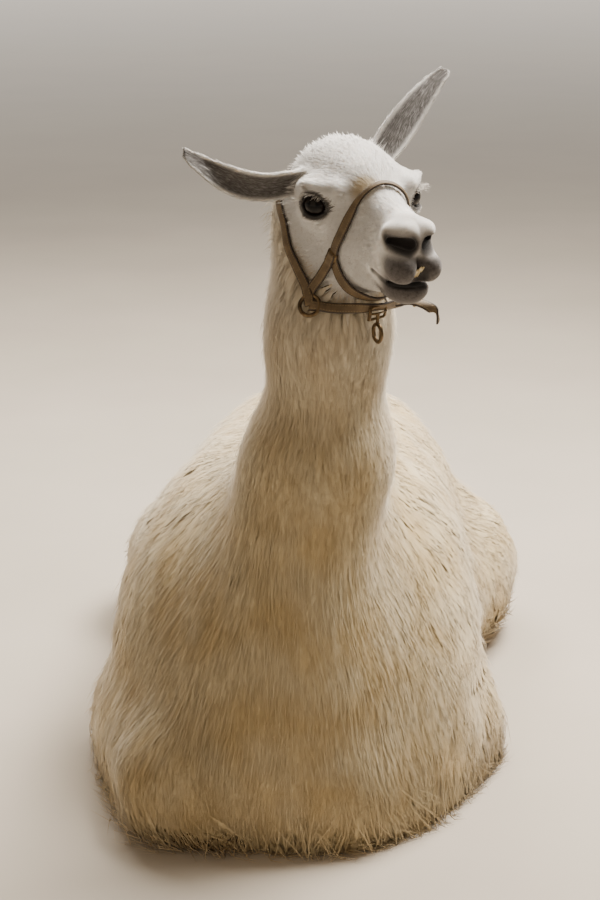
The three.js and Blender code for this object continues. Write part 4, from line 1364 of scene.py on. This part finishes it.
# ---------------------------------------------------------------- teeth and nails
def rounded_peg(root, tip, wide_way, widths, thicknesses, sides=12):
    """A closed peg with an oval section that changes from root to tip."""
    root, tip = np.asarray(root, float), np.asarray(tip, float)
    along = unit(tip - root)
    wide_way = unit(wide_way - along * (np.asarray(wide_way) @ along))
    other = np.cross(along, wide_way)
    turn = np.linspace(0, 2 * math.pi, sides, endpoint=False)
    rings = []
    for s in np.linspace(0, 1, 9):
        wide = np.interp(s, *widths) / 2
        thick = np.interp(s, *thicknesses) / 2
        centre = root + (tip - root) * s
        rings.append(centre + np.cos(turn)[:, None] * wide_way * wide
                     + np.sin(turn)[:, None] * other * thick)
    vertices = np.concatenate(rings)
    ends = np.arange(sides)
    caps = np.stack([ends[::-1], len(vertices) - sides + ends])
    return vertices, [lathed(len(rings), sides), caps]


def build_teeth():
    """Six lower front teeth in a shallow arc: the middle two stand up through the parted lip."""
    parts = []
    for number in range(6):
        from_middle = abs(number - 2.5) - 0.5
        across = (number - 2.5) * 0.0040
        lower = 0.0040 * from_middle
        root = from_head([0.1500, 0.0045 + across * 0.7, -0.0815])
        tip = from_head([0.1715 - 0.0030 * from_middle, 0.0045 + across * 1.05, -0.0595 - lower])
        widths = (0, 0.6, 0.9, 1), (0.0034, 0.0048, 0.0044, 0.0026)
        thicknesses = (0, 0.8, 1), (0.0048, 0.0034, 0.0014)
        parts.append(rounded_peg(root, tip, sideways, widths, thicknesses))
    vertices, faces = merged(parts)
    finished(mesh_object("front_teeth", vertices, faces, enamel), "tooth", "lower_incisors")


def build_nails():
    """A small pointed nail at the tip of each toe, curved down to the floor."""
    for kind, foot in FEET.items():
        way, toes = toes_of(foot)
        for side_name, side in (("left", 1), ("right", -1)):
            flip = np.array([side, 1, 1])
            for hand, (_, tip) in zip(("inner", "outer"), toes):
                root = tip + way * TOES["radius"] * 0.55 + [0, 0, 0.0045]
                end = tip + way * (TOES["radius"] * 0.6 + 0.0235)
                end[2] = 0.0055
                vertices, faces = rounded_peg(root * flip, end * flip, np.cross(way, [0, 0, 1]) * flip,
                                              ((0, 0.35, 0.8, 1), (0.0135, 0.0130, 0.0060, 0.0020)),
                                              ((0, 0.35, 0.8, 1), (0.0125, 0.0115, 0.0055, 0.0020)))
                node = f"{kind.replace('foot', 'nail')}_{side_name}_{hand}"
                finished(mesh_object(f"horn_{node}", vertices, faces, horn), "nail", node)


build_teeth()
build_nails()


# ---------------------------------------------------------------- the halter
STRAP = {"width": 0.015, "thick": 0.003, "lift": 0.002}
STITCH = 0.004          # one stitch and its gap
RING = {"radius": 0.015, "wire": 0.003}


def mirrored(points):
    """The same path on the other side of the head."""
    return [(a, -b, c) for a, b, c in points]


NOSE_SIDE = [(0.052, 0.034, 0.016), (0.036, 0.054, -0.034), (0.020, 0.058, -0.072),
             (0.028, 0.040, -0.116)]
NOSEBAND = [(0.055, 0, 0.036), *mirrored(NOSE_SIDE), (0.044, 0, -0.132), *NOSE_SIDE[::-1]]
RING_AT = (-0.005, 0.084, -0.147)
CHEEK = [(0.020, 0.057, -0.064), (0.002, 0.070, -0.100), (-0.010, 0.082, -0.128), RING_AT]
CROWN_SIDE = [RING_AT, (-0.016, 0.084, -0.126), (-0.043, 0.087, -0.097), (-0.068, 0.089, -0.070),
              (-0.086, 0.088, -0.036), (-0.128, 0.076, 0.004)]
CROWN = [*mirrored(CROWN_SIDE), (-0.146, 0, 0.052), *CROWN_SIDE[::-1]]
JAW_SIDE = [RING_AT, (0.018, 0.052, -0.148)]
JAW = [*mirrored(JAW_SIDE), (0.044, 0, -0.144), *JAW_SIDE[::-1]]
CHIN_AT = (0.044, 0, -0.153)
LOOSE_END = [(0.052, 0.026, -0.142), (0.066, 0.044, -0.136), (0.080, 0.060, -0.140),
             (0.086, 0.072, -0.152), (0.084, 0.076, -0.166)]


def curve_through(points, count, loop=False):
    """Evenly spaced points on a smooth curve through a few."""
    points = np.asarray(points, float)
    whole = np.concatenate([points, points[:1]]) if loop else points
    gaps = np.linalg.norm(np.diff(whole, axis=0), axis=1) ** 0.5
    dense = []
    total = len(points)
    for i in range(len(gaps)):
        if loop:
            around = [points[(i + k) % total] for k in (-1, 0, 1, 2)]
            spans = [gaps[(i - 1) % total], gaps[i], gaps[(i + 1) % total]]
        else:
            before = points[i - 1] if i else 2 * points[0] - points[1]
            after = points[i + 2] if i + 2 < total else 2 * points[-1] - points[-2]
            around = [before, points[i], points[i + 1], after]
            spans = [gaps[max(i - 1, 0)], gaps[i], gaps[min(i + 1, len(gaps) - 1)]]
        a, b, c, d = around
        leave = ((b - a) / spans[0] - (c - a) / (spans[0] + spans[1]) + (c - b) / spans[1]) * spans[1]
        arrive = ((c - b) / spans[1] - (d - b) / (spans[1] + spans[2]) + (d - c) / spans[2]) * spans[1]
        for t in np.linspace(0, 1, 24, endpoint=False):
            dense.append((2 * t ** 3 - 3 * t ** 2 + 1) * b + (t ** 3 - 2 * t ** 2 + t) * leave
                         + (3 * t ** 2 - 2 * t ** 3) * c + (t ** 3 - t ** 2) * arrive)
    dense.append(points[0] if loop else points[-1])
    dense = np.array(dense)
    run = np.concatenate([[0], np.cumsum(np.linalg.norm(np.diff(dense, axis=0), axis=1))])
    want = np.linspace(0, run[-1], count + 1)[:count] if loop else np.linspace(0, run[-1], count)
    return np.stack([np.interp(want, run, dense[:, i]) for i in range(3)], 1)


def laid(points, count, loop=False):
    """A strap's middle line: pushed out wherever it would sink below the coat's outline."""
    line = from_head(curve_through(points, count, loop))
    for _ in range(8):
        sunk = np.maximum(STRAP["lift"] - flesh_field(line), 0)
        line = line + slope(flesh_field, line, 0.001) * sunk[:, None]
    return line.astype(np.float32)


STRAP_SECTION = np.array([(-1, 0.25), (-0.93, 0), (0, -0.05), (0.93, 0), (1, 0.25), (1, 0.75), (0.93, 1),
                          (0.45, 1.12), (0, 1.15), (-0.45, 1.12), (-0.93, 1), (-1, 0.75)])


def strap_mesh(line, loop=False, width=STRAP["width"], thick=STRAP["thick"], doubled=0.0):
    """A flat strap with rounded edges; doubled is the length folded back on itself at each end."""
    if loop:
        along = unit(np.roll(line, -1, 0) - np.roll(line, 1, 0))
    else:
        along = unit(np.gradient(line, axis=0))
    out = slope(flesh_field, line, 0.001)
    out = unit(out - along * (out * along).sum(1, keepdims=True))
    across = np.cross(along, out)
    step = np.linalg.norm(np.diff(line, axis=0), axis=1)
    run = np.concatenate([[0], np.cumsum(step)])
    from_end = np.minimum(run, run[-1] - run)
    folded = smooth(-from_end, -doubled - 0.002, -doubled) if doubled else np.zeros(len(line))
    deep = thick * (1 + folded)
    x = STRAP_SECTION[:, 0] * np.broadcast_to(width, len(line))[:, None] / 2
    rings = line[:, None] + across[:, None] * x[..., None] \
        + out[:, None] * (STRAP_SECTION[:, 1][None] * deep[:, None])[..., None]
    sides = len(STRAP_SECTION)
    vertices = rings.reshape(-1, 3)
    index = np.arange(len(vertices)).reshape(-1, sides)
    if loop:
        index = np.concatenate([index, index[:1]])
    here, there = index[:-1], index[1:]
    faces = [np.stack([here, there, np.roll(there, -1, 1), np.roll(here, -1, 1)], -1).reshape(-1, 4)]
    if not loop:
        faces.append(np.stack([index[0], index[-1][::-1]]))
    return vertices, faces, np.tile(STRAP_SECTION[:, 0], len(line)), np.repeat(run, sides)


def build_strap(name, node, line, loop=False, **shape):
    """A strap along a line, marked across and along for its stitches."""
    vertices, faces, across, along = strap_mesh(line, loop, **shape)
    piece = mesh_object(name, vertices, faces, strap_tan)
    store(piece, "across", across)
    store(piece, "along", along * 2 * math.pi / STITCH)
    return finished(piece, "strap", node)


def circle(centre, normal, radius, count):
    """Points round a circle."""
    normal = unit(normal)
    a = unit(np.cross(normal, [0.2, 0.4, 0.9]))
    b = np.cross(normal, a)
    turn = np.linspace(0, 2 * math.pi, count, endpoint=False)[:, None]
    return centre + radius * (np.cos(turn) * a + np.sin(turn) * b)


def build_ring(name, node, centre, normal, radius):
    """A round metal ring."""
    vertices, faces = tube(circle(centre, normal, radius, 48), RING["wire"], 12, loop=True)
    return finished(mesh_object(name, vertices, faces, bronze), "metal", node)


def build_halter():
    """Noseband, two cheek straps, crown and jaw straps, two side rings, and the buckle at the chin."""
    band = laid(NOSEBAND, 120, True)
    over_nose = smooth(to_head(band)[:, 2], -0.020, 0.030)
    build_strap("noseband", "halter_noseband", band, True, width=STRAP["width"] * (1 - 0.5 * over_nose))
    build_strap("cheek_strap_left", "halter_cheek_left", laid(CHEEK, 24), doubled=0.018)
    build_strap("cheek_strap_right", "halter_cheek_right", laid(mirrored(CHEEK), 24), doubled=0.018)
    build_strap("crown_strap", "halter_crown", laid(CROWN, 130), doubled=0.026)
    build_strap("jaw_strap", "halter_jaw", laid(JAW, 60), doubled=0.020)
    build_strap("loose_strap_end", "halter_loose_end", laid(LOOSE_END, 36))
    for name, side in (("left", 1), ("right", -1)):
        forth, out_to, rise = RING_AT
        spot = laid([(forth, out_to * side, rise), (forth + 0.001, out_to * side, rise)], 2)
        out = slope(flesh_field, spot[:1], 0.001)[0]
        build_ring(f"side_ring_{name}", f"halter_ring_{name}", spot[0] + out * RING["wire"], out,
                   RING["radius"])
    for name, side in (("left", 1), ("right", -1)):
        build_keeper(name, [(x, y * side, z) for x, y, z in CHEEK])
    chin = from_head([CHIN_AT])
    facing = slope(flesh_field, chin, 0.001)[0]
    build_buckle(chin[0], facing)
    build_chin_ring(chin[0])


def build_keeper(name, cheek):
    """A short worn metal loop round the top of a cheek strap, where it leaves the noseband."""
    line = laid(cheek, 24)[:4]
    spot = line.mean(0)
    line = spot + (line - spot) * 1.3
    out = slope(flesh_field, line, 0.001)
    vertices, faces = strap_mesh(line - out * 0.0004, width=STRAP["width"] + 0.0036,
                                 thick=STRAP["thick"] + 0.0018)[:2]
    finished(mesh_object(f"strap_keeper_{name}", vertices, faces, bronze), "metal")


def build_chin_ring(at):
    """The lead ring under the chin, on a short link from the buckle."""
    radius = RING["radius"] - 0.002
    centre = at - np.array([0, 0, RING["radius"] + 0.016])
    ring = tube(circle(centre, sideways, radius, 40), RING["wire"], 12, loop=True)
    link_line = [centre + [0, 0, radius - 0.001 + h] for h in (0, 0.004, 0.014, 0.018)]
    link = tube(link_line, (0.0030, 0.0026, 0.0026, 0.0034), 10)
    vertices, faces = merged([ring, link])
    finished(mesh_object("chin_ring", vertices, faces, bronze), "metal", "halter_chin_ring")


def build_buckle(centre, facing):
    """A flat frame with rounded bars and a tongue across it."""
    lean = unit(facing)
    wide = unit(sideways - lean * (sideways @ lean))
    high = np.cross(lean, wide)
    half_wide, half_high = 0.0145, 0.0100
    corner = 0.004
    path = []
    for sx, sy, start in ((1, 1, 0), (-1, 1, 90), (-1, -1, 180), (1, -1, 270)):
        for angle in np.radians(np.linspace(start, start + 90, 6)):
            x = sx * (half_wide - corner) + corner * math.cos(angle)
            y = sy * (half_high - corner) + corner * math.sin(angle)
            path.append(centre + wide * x + high * y)
    frame_bar = tube(path, 0.0021, 10, loop=True)
    tongue_places = ((-0.0145, 0.0005), (-0.006, 0.0028), (0.006, 0.0028), (0.0155, 0.0018))
    tongue_line = [centre + wide * x + lean * z for x, z in tongue_places]
    tongue = tube(tongue_line, (0.0016, 0.0016, 0.0014, 0.0010), 10)
    slide = tube([centre + high * y - wide * 0.0145 for y in (-0.0105, 0.0105)], 0.0026, 10)
    vertices, faces = merged([frame_bar, tongue, slide])
    finished(mesh_object("chin_buckle", vertices, faces, bronze), "metal", "halter_buckle")


HALTER_LINES = [laid(NOSEBAND, 80, True), laid(CROWN, 110), laid(CHEEK, 20), laid(mirrored(CHEEK), 20),
                laid(JAW, 40)]


def pressed(p):
    """1 where a strap holds the coat down, 0 from a little outside its edges."""
    near = np.stack([np.linalg.norm(p - line[:, None], axis=2).min(0) for line in HALTER_LINES])
    return smooth(-near.min(0), -0.022, -0.013)


build_halter()
grow_fleece()
grow_neck_wool()
grow_hem()
grow_face_hair()
grow_ear_hair()
grow_foot_hair()


# ---------------------------------------------------------------- camera, light and floor
LIT_AT = Vector((0.05, 0.0, 0.5))   # what the lights point at
LIGHTS = (                          # name, place, size in metres, watts and colour
    ("key", (1.1, 0.9, 3.1), 1.5, 325.0, "#fff6ea"),
    ("fill", (-1.6, -3.0, 1.8), 2.8, 14.0, "#ffdfb8"),
    ("back", (-1.0, 2.2, 2.8), 1.8, 120.0, "#fff6ea"),
)


def stage():
    """A long lens from in front and a little above, soft light from over the back, and a floor."""
    turn, pitch, height = math.radians(5.0), math.radians(18.3), 1.585
    distance, shift = 3.15, -0.0055
    camera_data = bpy.data.cameras.new("camera")
    camera_data.lens = 81.2
    camera = bpy.data.objects.new("camera", camera_data)
    camera.location = (
        distance * math.sin(turn) - shift * math.cos(turn),
        -distance * math.cos(turn) - shift * math.sin(turn),
        height,
    )
    look = Vector((-math.sin(turn) * math.cos(pitch), math.cos(turn) * math.cos(pitch), -math.sin(pitch)))
    camera.rotation_euler = look.to_track_quat("-Z", "Y").to_euler()
    bpy.context.scene.collection.objects.link(camera)
    bpy.context.scene.camera = camera
    for name, at, size, power, tint in LIGHTS:
        light_data = bpy.data.lights.new(name, "AREA")
        light_data.size = size
        light_data.energy = power
        light_data.color = colour(tint)[:3]
        light = bpy.data.objects.new(name, light_data)
        light.location = at
        aim = LIT_AT - light.location
        light.rotation_euler = aim.to_track_quat("-Z", "Y").to_euler()
        bpy.context.scene.collection.objects.link(light)
    world = bpy.data.worlds.new("studio")
    world.use_nodes = True
    background = world.node_tree.nodes["Background"]
    background.inputs["Color"].default_value = colour("#f3e4cf")
    background.inputs["Strength"].default_value = 0.27
    bpy.context.scene.world = world
    floor = mesh_object("floor", [(-40, -40, 0), (40, -40, 0), (40, 40, 0), (-40, 40, 0)],
                        np.array([[0, 1, 2, 3]]), floor_material(), False)


stage()
